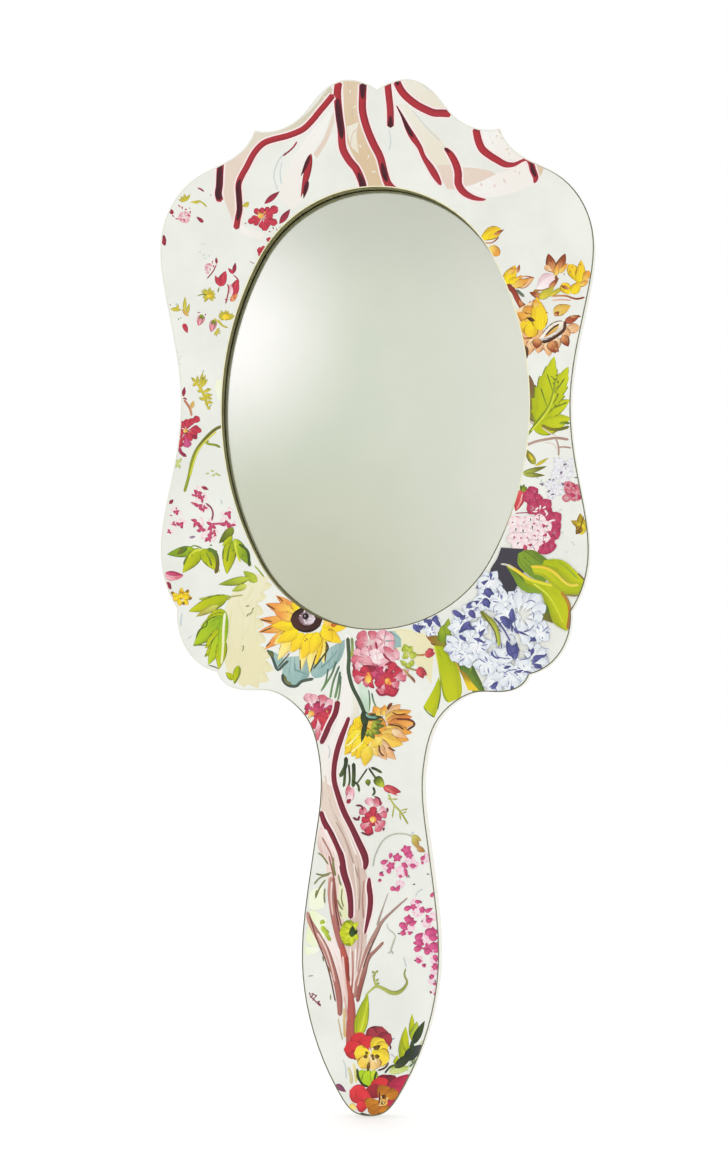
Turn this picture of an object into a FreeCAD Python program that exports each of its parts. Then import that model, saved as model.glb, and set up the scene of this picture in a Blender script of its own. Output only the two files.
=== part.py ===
import FreeCAD, Part
import math
import os

# Hand mirror: a flat cut-out board frame with a printed face on each side, an oval
# mirror set behind the front board's lip, and a handle that is part of the same board.
# Millimetres. +X is the mirror's right, +Y points out of its back, +Z runs up from the
# handle's grip to the head. The origin is the middle of the grip, halfway through the board.

# Layers, from the front face (-Y) to the back face (+Y)
PRINT_THICK = 0.25
FRONT_BOARD_THICK = 8.0
GLUE_THICK = 0.10
BACK_BOARD_THICK = 2.6
TOTAL_THICK = 2 * PRINT_THICK + FRONT_BOARD_THICK + GLUE_THICK + BACK_BOARD_THICK

FRONT_FACE = -TOTAL_THICK / 2
BOARD_FRONT = FRONT_FACE + PRINT_THICK
BOARD_BACK = BOARD_FRONT + FRONT_BOARD_THICK
GLUE_BACK = BOARD_BACK + GLUE_THICK
BACK_BOARD_BACK = GLUE_BACK + BACK_BOARD_THICK
BACK_FACE = BACK_BOARD_BACK + PRINT_THICK

# Coloured strips round the outer edge and inside the sight opening
EDGE_BAND_THICK = 0.35
OPENING_BAND_THICK = 0.30

# Sight opening: an oval of four arcs, given by its half-width, half-height and end radius
SIGHT_HALF_WIDTH = 44.8
SIGHT_HALF_HEIGHT = 64.2
SIGHT_END_RADIUS = 38.4
SIGHT_CENTRE_Z = 151.6

# The rebate behind the lip, which holds the glass
LIP_THICK = 5.2
REBATE_WIDER = 3.0
GLASS_CLEARANCE = 0.4
GLASS_THICK = 2.0
SILVER_THICK = 0.05
PAINT_THICK = 0.10
LIP_BACK = BOARD_FRONT + LIP_THICK
GLASS_BACK = LIP_BACK + GLASS_THICK
SILVER_BACK = GLASS_BACK + SILVER_THICK
PAINT_BACK = SILVER_BACK + PAINT_THICK

# Foam pads that press the glass against the lip
PAD_WIDTH = 22.0
PAD_HEIGHT = 12.0
PAD_CORNER = 2.0
PAD_COLUMN_X = 20.0
PAD_ROW_STEP = 34.0

# Right half of the outline as smooth runs between its corners, as (x, z), from the notch at
# the top centre down to the tip of the handle. The left half mirrors it.
CROWN = [(0.0, 244.1), (4.6, 246.5), (9.3, 247.1), (16.2, 243.6), (22.6, 236.1), (28.0, 232.9), (35.8, 232.5)]
FLANK = [
    (35.8, 232.5),
    (41.4, 225.0),
    (53.2, 218.6),
    (62.4, 204.8),
    (61.8, 185.4),
    (56.8, 155.1),
    (58.7, 133.4),
    (62.2, 108.5),
    (57.2, 92.8),
]
LOBE = [(57.2, 92.8), (56.7, 86.5), (53.5, 79.8), (45.3, 74.6)]
STEM = [
    (45.3, 74.6),
    (42.3, 70.8),
    (38.2, 69.5),
    (30.1, 69.3),
    (23.7, 66.2),
    (18.5, 60.4),
    (15.8, 52.3),
    (14.8, 43.1),
    (16.2, 27.7),
    (18.8, 8.9),
    (19.9, -7.9),
    (18.2, -22.3),
    (13.9, -36.2),
    (8.7, -46.7),
    (4.3, -51.9),
]
TIP = (0.0, -52.9)


def spline(points):
    """A smooth curve through (x, z) points in the plane y = 0."""
    result = Part.BSplineCurve()
    result.interpolate([FreeCAD.Vector(x, 0, z) for x, z in points])
    return result


def mirrored(points):
    """The same run on the left, in the order that carries on round the outline."""
    return [(-x, z) for x, z in reversed(points)]


def inward(curve, parameter):
    """The unit vector into the board from a point of a run, all runs going clockwise."""
    tangent = curve.tangent(parameter)[0]
    return FreeCAD.Vector(tangent.z, 0, -tangent.x)


def corner_step(before, after):
    """How far a corner moves, in x and z, for each millimetre that both its runs move inward."""
    return (before + after) / (1 + before.dot(after))


def outline_face(inset):
    """The mirror's outline as a flat face, drawn in by inset all round."""
    stem = STEM + [TIP] + mirrored(STEM)
    runs = [CROWN, FLANK, LOBE, stem, mirrored(LOBE), mirrored(FLANK), mirrored(CROWN)]
    curves = [spline(run) for run in runs]
    starts = [inward(curve, curve.FirstParameter) for curve in curves]
    ends = [inward(curve, curve.LastParameter) for curve in curves]
    edges = []
    for i, (run, curve) in enumerate(zip(runs, curves)):
        steps = [inward(curve, curve.parameter(FreeCAD.Vector(x, 0, z))) for x, z in run]
        steps[0] = corner_step(ends[i - 1], starts[i])
        steps[-1] = corner_step(ends[i], starts[(i + 1) % len(runs)])
        moved = [(x + inset * step.x, z + inset * step.z) for (x, z), step in zip(run, steps)]
        edges.append(spline(moved).toShape())
    return Part.Face(Part.Wire(edges))


def oval_face(grow):
    """The sight opening's oval as a flat face, larger by grow all round."""
    a = SIGHT_HALF_WIDTH + grow
    b = SIGHT_HALF_HEIGHT + grow
    r = SIGHT_END_RADIUS + grow
    side_radius = (a * a + b * b - 2 * b * r) / (2 * (a - r))
    side_centre = side_radius - a
    end_centre = b - r
    angle = math.atan2(end_centre, side_centre)
    join_x = r * math.cos(angle)
    join_z = end_centre + r * math.sin(angle)

    def arc(start, middle, end):
        ends = [FreeCAD.Vector(x, 0, SIGHT_CENTRE_Z + z) for x, z in (start, middle, end)]
        return Part.Arc(*ends).toShape()

    arcs = [
        arc((join_x, join_z), (0, b), (-join_x, join_z)),
        arc((-join_x, join_z), (-a, 0), (-join_x, -join_z)),
        arc((-join_x, -join_z), (0, -b), (join_x, -join_z)),
        arc((join_x, -join_z), (a, 0), (join_x, join_z)),
    ]
    return Part.Face(Part.Wire(arcs))


def slab(face, front, back):
    """A face in the plane y = 0 made into a solid between two depths."""
    shape = face.copy()
    shape.translate(FreeCAD.Vector(0, front, 0))
    return shape.extrude(FreeCAD.Vector(0, back - front, 0))


def pad(x, z):
    """One foam pad with rounded corners, centred on x, z."""
    corner = FreeCAD.Vector(x - PAD_WIDTH / 2, PAINT_BACK, z - PAD_HEIGHT / 2)
    box = Part.makeBox(PAD_WIDTH, GLUE_BACK - PAINT_BACK, PAD_HEIGHT, corner)
    upright = [edge for edge in box.Edges if abs(edge.tangentAt(edge.FirstParameter).y) > 0.99]
    return box.makeFillet(PAD_CORNER, upright)


def pads():
    """Three rows of two pads on the back of the glass."""
    places = [(x, SIGHT_CENTRE_Z + row * PAD_ROW_STEP) for row in (-1, 0, 1) for x in (-PAD_COLUMN_X, PAD_COLUMN_X)]
    return Part.makeCompound([pad(x, z) for x, z in places])


outer = outline_face(0)
inner = outline_face(EDGE_BAND_THICK)
sight = oval_face(0)
sight_in_board = oval_face(OPENING_BAND_THICK)
rebate = oval_face(REBATE_WIDER)
glass = oval_face(REBATE_WIDER - GLASS_CLEARANCE)

front_board = slab(inner, BOARD_FRONT, BOARD_BACK)
front_board = front_board.cut(slab(sight_in_board, BOARD_FRONT, BOARD_BACK))
front_board = front_board.cut(slab(rebate, LIP_BACK, BOARD_BACK))

nodes = {
    "front_print_sheet": slab(inner, FRONT_FACE, BOARD_FRONT).cut(slab(sight_in_board, FRONT_FACE, BOARD_FRONT)),
    "front_board": front_board,
    "board_glue_film": slab(inner, BOARD_BACK, GLUE_BACK).cut(slab(rebate, BOARD_BACK, GLUE_BACK)),
    "back_board": slab(inner, GLUE_BACK, BACK_BOARD_BACK),
    "back_print_sheet": slab(inner, BACK_BOARD_BACK, BACK_FACE),
    "edge_band": slab(outer, FRONT_FACE, BACK_FACE).cut(slab(inner, FRONT_FACE, BACK_FACE)),
    "opening_band": slab(sight_in_board, FRONT_FACE, LIP_BACK).cut(slab(sight, FRONT_FACE, LIP_BACK)),
    "mirror_glass": slab(glass, LIP_BACK, GLASS_BACK),
    "mirror_silvering": slab(glass, GLASS_BACK, SILVER_BACK),
    "mirror_backing_paint": slab(glass, SILVER_BACK, PAINT_BACK),
    "glass_foam_pads": pads(),
}

os.makedirs("parts", exist_ok=True)
for name, shape in nodes.items():
    shape.exportStep("parts/" + name + ".step")
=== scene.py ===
"""The looks of a flat hand mirror with a printed floral design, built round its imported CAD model.

Every shape of the print is drawn here by the functions below: petals, leaves, stems and ribbons,
given in millimetres of the row frame as someone who faces that side of the mirror sees them.
"""

import math
import random

import bpy
import numpy as np
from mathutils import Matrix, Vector


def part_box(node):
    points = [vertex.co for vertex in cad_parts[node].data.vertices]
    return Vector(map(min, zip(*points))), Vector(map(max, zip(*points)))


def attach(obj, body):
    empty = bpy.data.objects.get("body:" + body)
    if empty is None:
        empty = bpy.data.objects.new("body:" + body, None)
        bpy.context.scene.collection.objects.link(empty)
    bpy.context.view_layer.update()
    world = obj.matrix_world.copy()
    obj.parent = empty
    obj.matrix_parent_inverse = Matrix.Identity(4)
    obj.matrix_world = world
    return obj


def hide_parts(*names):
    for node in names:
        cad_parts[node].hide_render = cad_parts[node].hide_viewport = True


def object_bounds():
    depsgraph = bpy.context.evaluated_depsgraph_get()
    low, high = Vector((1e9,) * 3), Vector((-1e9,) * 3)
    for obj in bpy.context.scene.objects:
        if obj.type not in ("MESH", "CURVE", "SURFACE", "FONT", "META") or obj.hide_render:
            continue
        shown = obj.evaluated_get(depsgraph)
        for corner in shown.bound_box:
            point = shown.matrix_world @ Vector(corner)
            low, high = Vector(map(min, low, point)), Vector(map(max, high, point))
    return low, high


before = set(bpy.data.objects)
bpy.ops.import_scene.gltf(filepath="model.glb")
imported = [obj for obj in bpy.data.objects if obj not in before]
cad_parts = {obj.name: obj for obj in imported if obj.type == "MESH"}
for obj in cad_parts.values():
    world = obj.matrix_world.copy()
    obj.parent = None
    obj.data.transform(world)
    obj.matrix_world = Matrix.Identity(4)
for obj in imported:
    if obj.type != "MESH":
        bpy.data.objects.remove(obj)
cad_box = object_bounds()

MM = 0.001
FRONT, BACK = -1, 1
LAYER = 0.0025  # mm between a printed shape and the one it overlaps
CELL = 0.5  # mm, the grid on which overlaps are found
GRID_LOW = (-70.0, -60.0)  # mm, the grid's corner
GRID_SIZE = (280, 640)
ON_FACE = 1e-6  # m, how near to a sheet's outer face its own vertices lie
CHUNK = 4000  # points tested at a time
SEEDS = 50  # the range of the numbers that set each shape's own brush marks
LEAST_AREA = 1e-7  # square mm, twice the area of the smallest face that is kept
draw = random.Random(7)


def hexa(code):
    """A linear RGBA colour from a six-digit sRGB code."""
    parts = [int(code[i : i + 2], 16) / 255 for i in (0, 2, 4)]
    return tuple(c / 12.92 if c <= 0.04045 else ((c + 0.055) / 1.055) ** 2.4 for c in parts) + (1.0,)


# ---------------------------------------------------------------- where the print may lie


def face_loops(node, side):
    """The closed edges, in mm, of a sheet's face on that side."""
    low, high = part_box(node)
    level = low.y if side == FRONT else high.y
    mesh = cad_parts[node].data
    spots = [(round(v.co.x / MM, 4), round(v.co.z / MM, 4)) for v in mesh.vertices]
    flat = [abs(v.co.y - level) < ON_FACE for v in mesh.vertices]
    edges = set()
    for face in mesh.polygons:
        if all(flat[i] for i in face.vertices):
            ring = [spots[i] for i in face.vertices]
            edges.update(zip(ring, ring[1:] + ring[:1]))
    following = {a: b for a, b in edges if (b, a) not in edges}
    loops = []
    while following:
        start, spot = following.popitem()
        loop = [start]
        while spot != start:
            loop.append(spot)
            spot = following.pop(spot)
        loops.append(np.array(loop))
    return loops


class Region:
    """The part of a face that paper covers."""

    def __init__(self, loops):
        self.a = np.concatenate(loops)
        self.b = np.concatenate([np.roll(loop, -1, axis=0) for loop in loops])

    def depth(self, points):
        """How far inside the paper's edge each point is, in mm, and below zero outside."""
        found = np.empty(len(points))
        step = self.b - self.a
        size = (step**2).sum(1)
        for at in range(0, len(points), CHUNK):
            p = points[at : at + CHUNK, None, :]
            off = p - self.a
            share = np.clip((off * step).sum(2) / size, 0, 1)
            gap = np.sqrt(((off - share[:, :, None] * step) ** 2).sum(2)).min(1)
            above = (self.a[:, 1] > p[:, :, 1]) != (self.b[:, 1] > p[:, :, 1])
            with np.errstate(divide="ignore", invalid="ignore"):
                cross = self.a[:, 0] + (p[:, :, 1] - self.a[:, 1]) * step[:, 0] / step[:, 1]
            odd = (above & (p[:, :, 0] < cross)).sum(1) % 2 == 1
            found[at : at + CHUNK] = np.where(odd, gap, -gap)
        return found


region = {
    FRONT: Region(face_loops("front_print_sheet", FRONT)),
    BACK: Region(face_loops("back_print_sheet", BACK)),
}
heights = {FRONT: np.zeros(GRID_SIZE, int), BACK: np.zeros(GRID_SIZE, int)}
face_y = {FRONT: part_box("front_print_sheet")[0].y, BACK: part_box("back_print_sheet")[1].y}

# ---------------------------------------------------------------- one printed piece

COLOURS = ("ink_base", "ink_tip", "ink_line", "ink_set")


def halved(grid):
    """The grid of points with one more row midway between each two."""
    finer = np.empty((2 * len(grid) - 1,) + grid.shape[1:])
    finer[::2] = grid
    finer[1::2] = (grid[1:] + grid[:-1]) / 2
    return finer


class Motif:
    """A group of printed shapes that becomes one flat piece on a face."""

    def __init__(self, name, side=FRONT):
        self.name, self.side = name, side
        self.points, self.uv, self.faces = [], [], []
        self.values = {key: [] for key in COLOURS}
        self.count = 0

    def level(self, points):
        """One layer above everything that the shape covers."""
        fine = points
        for _ in range(2):
            fine = halved(halved(fine).swapaxes(0, 1)).swapaxes(0, 1)
        cells = ((fine.reshape(-1, 2) - GRID_LOW) / CELL).astype(int)
        cells = np.clip(cells, 1, np.array(GRID_SIZE) - 2)
        grid = heights[self.side]
        near = [(i, k) for i in (-1, 0, 1) for k in (-1, 0, 1)]
        top = max(grid[cells[:, 0] + i, cells[:, 1] + k].max() for i, k in near) + 1
        grid[cells[:, 0], cells[:, 1]] = top
        return top

    def add(self, points, uv, base, tip, line, edge, streak, shade, vein):
        """A grid of points with its place along and across the shape, its inks and how they are laid."""
        rows, columns = points.shape[:2]
        top = self.level(points)
        x = points[:, :, 0] * -self.side
        y = np.full((rows, columns), face_y[self.side] / MM + self.side * top * LAYER)
        self.points.append(np.stack([x, y, points[:, :, 1]], axis=2).reshape(-1, 3))
        seed = draw.random() * SEEDS
        self.uv.append(np.concatenate([uv.reshape(-1, 2), np.full((rows * columns, 1), seed)], axis=1))
        inks = (hexa(base), hexa(tip), hexa(line), (edge, streak, shade, vein))
        for key, value in zip(COLOURS, inks):
            self.values[key].append(np.tile(value, (rows * columns, 1)))
        i, j = np.meshgrid(np.arange(rows - 1), np.arange(columns - 1), indexing="ij")
        a = (i * columns + j).ravel() + self.count
        b, c, d = a + 1, a + columns + 1, a + columns
        self.faces += [np.stack([a, b, c], 1), np.stack([a, c, d], 1)]
        self.count += rows * columns

    def clipped(self, points, extra, faces):
        """The shapes without what lies over the paper's edge."""
        depth = region[self.side].depth(points[:, [0, 2]])
        inside = depth[faces] >= 0
        whole = faces[inside.all(1)]
        points, extra = list(points), list(extra)
        made, cut = {}, []

        def crossing(i, k):
            key = (min(i, k), max(i, k))
            if key not in made:
                share = depth[i] / (depth[i] - depth[k])
                points.append(points[i] + (points[k] - points[i]) * share)
                extra.append(extra[i] + (extra[k] - extra[i]) * share)
                made[key] = len(points) - 1
            return made[key]

        for face in faces[inside.any(1) & ~inside.all(1)]:
            ring = []
            for i, k in zip(face, np.roll(face, -1)):
                if depth[i] >= 0:
                    ring.append(i)
                if (depth[i] >= 0) != (depth[k] >= 0):
                    ring.append(crossing(i, k))
            cut += [(ring[0], ring[n], ring[n + 1]) for n in range(1, len(ring) - 1)]
        faces = np.concatenate([whole, np.array(cut, int).reshape(-1, 3)])
        return np.array(points), np.array(extra), faces

    def build(self):
        """Makes the piece, facing outward, and rides it on the mirror."""
        points, faces = np.concatenate(self.points), np.concatenate(self.faces)
        inks = [np.concatenate(self.values[key]) for key in COLOURS]
        extra = np.concatenate([np.concatenate(self.uv)] + inks, axis=1)
        points, extra, faces = self.clipped(points, extra, faces)
        a, b, c = (points[faces[:, n]][:, [0, 2]] for n in range(3))
        area = (b - a)[:, 0] * (c - a)[:, 1] - (b - a)[:, 1] * (c - a)[:, 0]
        kept = np.abs(area) > LEAST_AREA
        faces, wrong = faces[kept], (area * self.side > 0)[kept]
        faces[wrong] = faces[wrong][:, ::-1]
        used, place = np.unique(faces, return_inverse=True)
        points, extra, faces = points[used] * MM, extra[used], place.reshape(-1, 3)
        mesh = bpy.data.meshes.new(self.name)
        mesh.from_pydata(points.tolist(), [], faces.tolist())
        uv = mesh.attributes.new("ink_uv", "FLOAT_VECTOR", "POINT")
        uv.data.foreach_set("vector", extra[:, :3].astype(np.float32).ravel())
        for n, key in enumerate(COLOURS):
            colour = mesh.attributes.new(key, "FLOAT_COLOR", "POINT")
            colour.data.foreach_set("color", extra[:, 3 + 4 * n : 7 + 4 * n].astype(np.float32).ravel())
        piece = bpy.data.objects.new(self.name, mesh)
        bpy.context.scene.collection.objects.link(piece)
        mesh.materials.append(ink)
        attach(piece, "root")


# ---------------------------------------------------------------- single shapes

STEP = 0.6  # mm between the points along a shape
TOOTH_STEP = 0.25  # mm between them along a toothed leaf
COLUMN = 0.9  # mm, the width of a shape's columns of faces
PATCH_COLUMN = 1.0  # mm, the same for a wash of colour
PIECES = 13  # straight pieces that stand for a curve between two of its points
TURN = 6.28  # radians, a full turn
FIFTH = 1.26  # radians, a fifth of a turn
SPIRAL = 2.4  # radians from each seed or floret of a round head to the next
HEART, HEART_RING, HEART_SPECK = 0.22, 0.26, 0.06  # of an open flower, as shares of its radius
BORDER = 0.9  # mm that a ribbon's pale border adds to its width
DARK_WIDTH = 0.84  # the width of a ribbon's dark stretches, as a share of the ribbon's
DARK_ENDS = 5.0  # mm over which a dark stretch narrows where the ribbon goes on
RIBBON_ENDS = 0.3  # mm over which it narrows where the ribbon ends

# A look is the width of a shape's dark edge, the strength of its streaks and of its shaded side, and
# the strength of its rib.
PETAL_LOOK = (0.16, 0.5, 0.3, 0)

# name: where along the shape it is widest, and how full it is
PROFILES = {
    "round": (0.62, 0.62),
    "spoon": (0.74, 0.70),
    "point": (0.45, 1.00),
    "leaf": (0.38, 0.85),
    "bud": (0.36, 0.72),
    "disc": (0.50, 0.50),
    "dagger": (0.22, 1.10),
}


def profile(name, u):
    """Half the width along a shape, as a share of the greatest."""
    widest, fullness = PROFILES[name]
    power = math.log(0.5) / math.log(widest)
    return np.sin(math.pi * np.clip(u, 1e-6, 1 - 1e-6) ** power) ** fullness


def petal(
    m, x, z, angle, length, width, inks, shape="round", bend=0.0, notch=0.0, teeth=0, look=PETAL_LOOK
):
    """A petal or leaf that starts at x, z and points along angle. inks are its base, tip and line colours."""
    rows = max(9, int(length / (TOOTH_STEP if teeth else STEP)))
    columns = max(5, int(width / COLUMN) | 1)
    u = np.linspace(0, 1, rows)[:, None]
    v = np.linspace(-1, 1, columns)[None, :]
    half = width / 2 * profile(shape, u)
    dip = np.exp(-((v / 0.4) ** 2)) * np.clip(u * 3 - 2, 0, 1) ** 2  # over the last third, at the middle
    along = u * length - notch * length * dip
    if teeth:
        half = half * (0.84 + 0.28 * ((u * teeth) % 1.0))  # each tooth widens toward the tip
    side = v * half + bend * length * u**2
    t = math.radians(angle)
    px = x + along * math.cos(t) - side * math.sin(t)
    pz = z + along * math.sin(t) + side * math.cos(t)
    points = np.stack(np.broadcast_arrays(px, pz), axis=2)
    uv = np.stack(np.broadcast_arrays(u, v), axis=2)
    m.add(points, uv, *inks, *look)


def smooth(points):
    """A smooth line through the points, in even steps, and its length."""
    p = np.array(points, float)
    p = np.concatenate([2 * p[:1] - p[1:2], p, 2 * p[-1:] - p[-2:-1]])
    t = np.linspace(0, 1, PIECES + 1)[:-1, None]
    runs = []
    for a, b, c, d in zip(p, p[1:], p[2:], p[3:]):
        cubic = -a + 3 * b - 3 * c + d
        square = 2 * a - 5 * b + 4 * c - d
        runs.append(0.5 * (2 * b + (c - a) * t + square * t**2 + cubic * t**3))
    line = np.concatenate(runs + [p[-2:-1]])
    far = np.concatenate([[0], np.cumsum(np.sqrt((np.diff(line[:, :2], axis=0) ** 2).sum(1)))])
    even = np.linspace(0, far[-1], max(4, int(far[-1] / STEP) + 1))
    return np.stack([np.interp(even, far, line[:, n]) for n in range(line.shape[1])], axis=1), far[-1]


def stroke(m, points, inks, width=1.0, ends=(0.6, 0.6), look=(0.0, 0.4, 0.3, 0)):
    """A stem or ribbon along points of (x, z) or (x, z, width), narrowed over ends mm at its two ends."""
    rows = [tuple(p) + (width,) if len(p) == 2 else tuple(p) for p in points]
    line, length = smooth(rows)
    along = np.gradient(line[:, :2], axis=0)
    along /= np.maximum(np.sqrt((along**2).sum(1))[:, None], 1e-9)
    across = np.stack([-along[:, 1], along[:, 0]], axis=1)
    far = np.linspace(0, length, len(line))
    half = line[:, 2] / 2
    for gap, size in ((far, ends[0]), (length - far, ends[1])):
        if size > 0:
            half = half * np.sqrt(np.clip(gap / size, 0.0, 1) * (2 - np.clip(gap / size, 0.0, 1)))
    v = np.linspace(-1, 1, max(3, int(half.max() * 2 / COLUMN) | 1))
    grid = line[:, None, :2] + (half[:, None] * v)[:, :, None] * across[:, None, :]
    u = np.linspace(0, 1, len(line))
    uv = np.stack(np.meshgrid(u, v, indexing="ij"), axis=2)
    m.add(grid, uv, *inks, *look)


def disc(m, x, z, r, inks, look=(0.2, 0.5, 0.3, 0)):
    """A round spot."""
    petal(m, x - r, z, 0, 2 * r, 2 * r, inks, "disc", look=look)


def blade(m, ax, az, bx, bz, width, inks, shape="point", **style):
    """A petal or leaf from its base at a to its tip at b."""
    angle = math.degrees(math.atan2(bz - az, bx - ax))
    petal(m, ax, az, angle, math.hypot(bx - ax, bz - az), width, inks, shape, **style)


def blades(m, inks, shape, *rows, **style):
    """Petals or leaves of one kind, each as its base, tip and width, and inks of its own if inks is None."""
    for ax, az, bx, bz, width, *own in rows:
        blade(m, ax, az, bx, bz, width, *(own or [inks]), shape, **style)


def strokes(m, inks, *rows, **style):
    """Stems or ribbons of one set of inks, each as its points and its width."""
    for points, width in rows:
        stroke(m, points, inks, width, **style)


def patch(m, first, second, inks, look=(0.0, 0.3, 0.0, 0)):
    """A wash of colour between two smooth lines of (x, z) points."""
    lines = [smooth(points)[0] for points in (first, second)]
    share = np.linspace(0, 1, max(map(len, lines)))
    own = [np.linspace(0, 1, len(line)) for line in lines]
    a, b = (
        np.stack([np.interp(share, at, line[:, n]) for n in (0, 1)], axis=1) for at, line in zip(own, lines)
    )
    wide = np.sqrt(((a - b) ** 2).sum(1)).max()
    v = np.linspace(0, 1, max(3, int(wide / PATCH_COLUMN) + 1))
    grid = a[:, None, :] * (1 - v)[None, :, None] + b[:, None, :] * v[None, :, None]
    uv = np.stack(np.meshgrid(share, v * 2 - 1, indexing="ij"), axis=2)
    m.add(grid, uv, *inks, *look)


def stripe(m, points, width, darks=(), ends=(RIBBON_ENDS, RIBBON_ENDS), inks=None):
    """A crimson ribbon edge with a pale border, and dark stretches given as shares of its length."""
    rows = [tuple(p) + (width,) if len(p) == 2 else tuple(p) for p in points]
    halo = [(x, z, w + BORDER) for x, z, w in rows]
    stroke(m, halo, HALO, ends=ends, look=(0.0, 0.2, 0.0, 0))
    stroke(m, rows, inks or RIBBON, ends=ends, look=(0.12, 0.35, 0.35, 0))
    line = smooth(rows)[0]
    for start, stop in darks:
        part = line[int(start * (len(line) - 1)) : int(stop * (len(line) - 1)) + 1]
        shaded = [(x, z, w * DARK_WIDTH) for x, z, w in part[:: max(1, len(part) // 8)]]
        narrowed = (DARK_ENDS if start > 0 else RIBBON_ENDS, DARK_ENDS if stop < 1 else RIBBON_ENDS)
        stroke(m, shaded, RIBBON_DARK, ends=narrowed, look=(0.0, 0.9, 0.2, 0))


def blossom(
    m, x, z, r, count, inks, heart, turn=0, squash=1.0, wide=0.8, shape="spoon", look=(0.14, 0.7, 0.35, 0)
):
    """An open flower: count petals round a small heart with specks."""
    width = wide * r * TURN / count
    for n in range(count):
        angle = turn + 360 / count * n + draw.uniform(-7, 7)
        t = math.radians(angle)
        reach = r * draw.uniform(0.88, 1.1) * math.hypot(math.cos(t), squash * math.sin(t))
        aim = math.degrees(math.atan2(squash * math.sin(t), math.cos(t)))
        bend = draw.uniform(-0.1, 0.1)
        petal(m, x, z, aim, reach, width, inks, shape, bend=bend, notch=0.08, look=look)
    if heart:
        disc(m, x, z, r * HEART, heart)
        away = r * HEART_RING
        for n in range(5):
            t = FIFTH * n + draw.random()
            px, pz = x + away * math.cos(t), z + away * squash * math.sin(t)
            disc(m, px, pz, r * HEART_SPECK, (heart[2],) * 3)


def burst(m, x, z, reach, start, stop, count, width, inks, shape="point"):
    """A spray of small leaves from one point, between two angles."""
    for n in range(count):
        angle = start + (stop - start) * (n / max(1, count - 1)) + draw.uniform(-6, 6)
        length = reach * draw.uniform(0.75, 1)
        petal(m, x, z, angle, length, width, inks, shape, bend=draw.uniform(-0.15, 0.15))


def bud(m, ax, az, bx, bz, width, inks, cup=None):
    """A closed bud from its stalk end a to its tip b: an outer petal, an inner one and two sepals."""
    blade(m, ax, az, bx, bz, width, inks, "bud")
    near, far = (ax * 0.9 + bx * 0.1, az * 0.9 + bz * 0.1), (ax * 0.1 + bx * 0.9, az * 0.1 + bz * 0.9)
    blade(m, *near, *far, width * 0.45, (inks[1], inks[0], inks[2]), "bud", bend=0.06)
    if cup:
        for side in (-1, 1):
            dx, dz = -(bz - az) * 0.16 * side, (bx - ax) * 0.16 * side
            blade(m, ax, az, ax + (bx - ax) * 0.45 + dx, az + (bz - az) * 0.45 + dz, width * 0.35, cup)


def specks(m, spots, inks, r=0.35):
    """Small touches of the brush at the given points."""
    for x, z in spots:
        angle = draw.uniform(0, 180)
        petal(m, x, z, angle, r * 2 * draw.uniform(0.8, 1.5), r * draw.uniform(0.8, 1.1), inks, "round")


# Inks, each as base, tip and line colours
HALO = ("F7E3E1", "F5DEDC", "F7E3E1")
RIBBON = ("A92C34", "A62E38", "5E1A26")
RIBBON_DARK = ("471620", "3F141E", "7E2430")
MAROON = ("7C2433", "742434", "3E101C")
TAN = ("D8C3A5", "D4BB98", "B0926E")
CREAM = ("E6E2D2", "E2DCC8", "CDBFA6")
BLUSH = ("DFCEBE", "DECABA", "CDA798")
PALE_FOLD = ("EEECE6", "EBE6DE", "DBC9C0")
ROSE = ("CE4053", "BF3649", "701F30")
DEEP_ROSE = ("A52C42", "8E2B3F", "4B1C2A")
PINK = ("EAB2B8", "D06878", "92344A")
PALE_PINK = ("F3DEDF", "E6ABB5", "AE566C")
GOLD_HEART = ("F3CF72", "EBA648", "8C4A22")
SPRIG = ("D6C63C", "BDB13A", "6C6A30")
LEMON = ("F6DC3C", "E6C028", "8E7420")
LIME = ("A9B80C", "BBC214", "55611F")
MOSS = ("8FA022", "5F7426", "2F3C1C")
GREY = ("C9D1D1", "BFC9CA", "A9B5B7")
YOLK = ("F5DA1E", "EEC72A", "966318")
AMBER = ("F1CC62", "E39C3E", "8A471F")
RUST = ("D9945C", "8C4023", "441F15")
PEACH = ("F0D3A6", "E6B07A", "98552D")
LEAF_GREEN = ("7A9A22", "93AA24", "3A4E1C")
DEEP_LEAF = ("5C7D2A", "6F6A2A", "33421E")
CHARCOAL = ("3F3C44", "3A3840", "2E2C34")
PINK_RED = ("CB5072", "B5385A", "7E2642")
SHELL = ("F6EFEC", "F0D9DA", "C898A4")
FROST = ("F0F3F2", "DCE3E7", "7C82A2")
INDIGO = ("5F609C", "474B80", "30335C")
TWIG = ("B89A8C", "A98878", "7A5C4E")
TEAL = ("A3BFB9", "8FB0AB", "4E6A68")
WASH = ("E7E2BF", "E4DDB2", "D0C894")
KNOT_GREEN = ("D5DC3A", "C4CE1E", "8A9A1C")
PALE_BARK = ("F4EAE4", "EBD9D0", "C9ACA0")
WARM_BARK = ("E9CFC6", "DDB8AC", "B9968A")
DUN = ("B9A090", "A98A80", "8A6A60")
STRAW = ("DDB56A", "CFA84F", "8C6A2E")
DARK_LEAF = ("2E3A22", "3A4A26", "1E2818")
GLOW = ("F6DA5E", "EE9A4A", "C0503A")
BUD_RED = ("D8545A", "B03A44", "6A2430")
SCARLET = ("E0443F", "C7333A", "5A1A24")

# ---------------------------------------------------------------- materials


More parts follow.
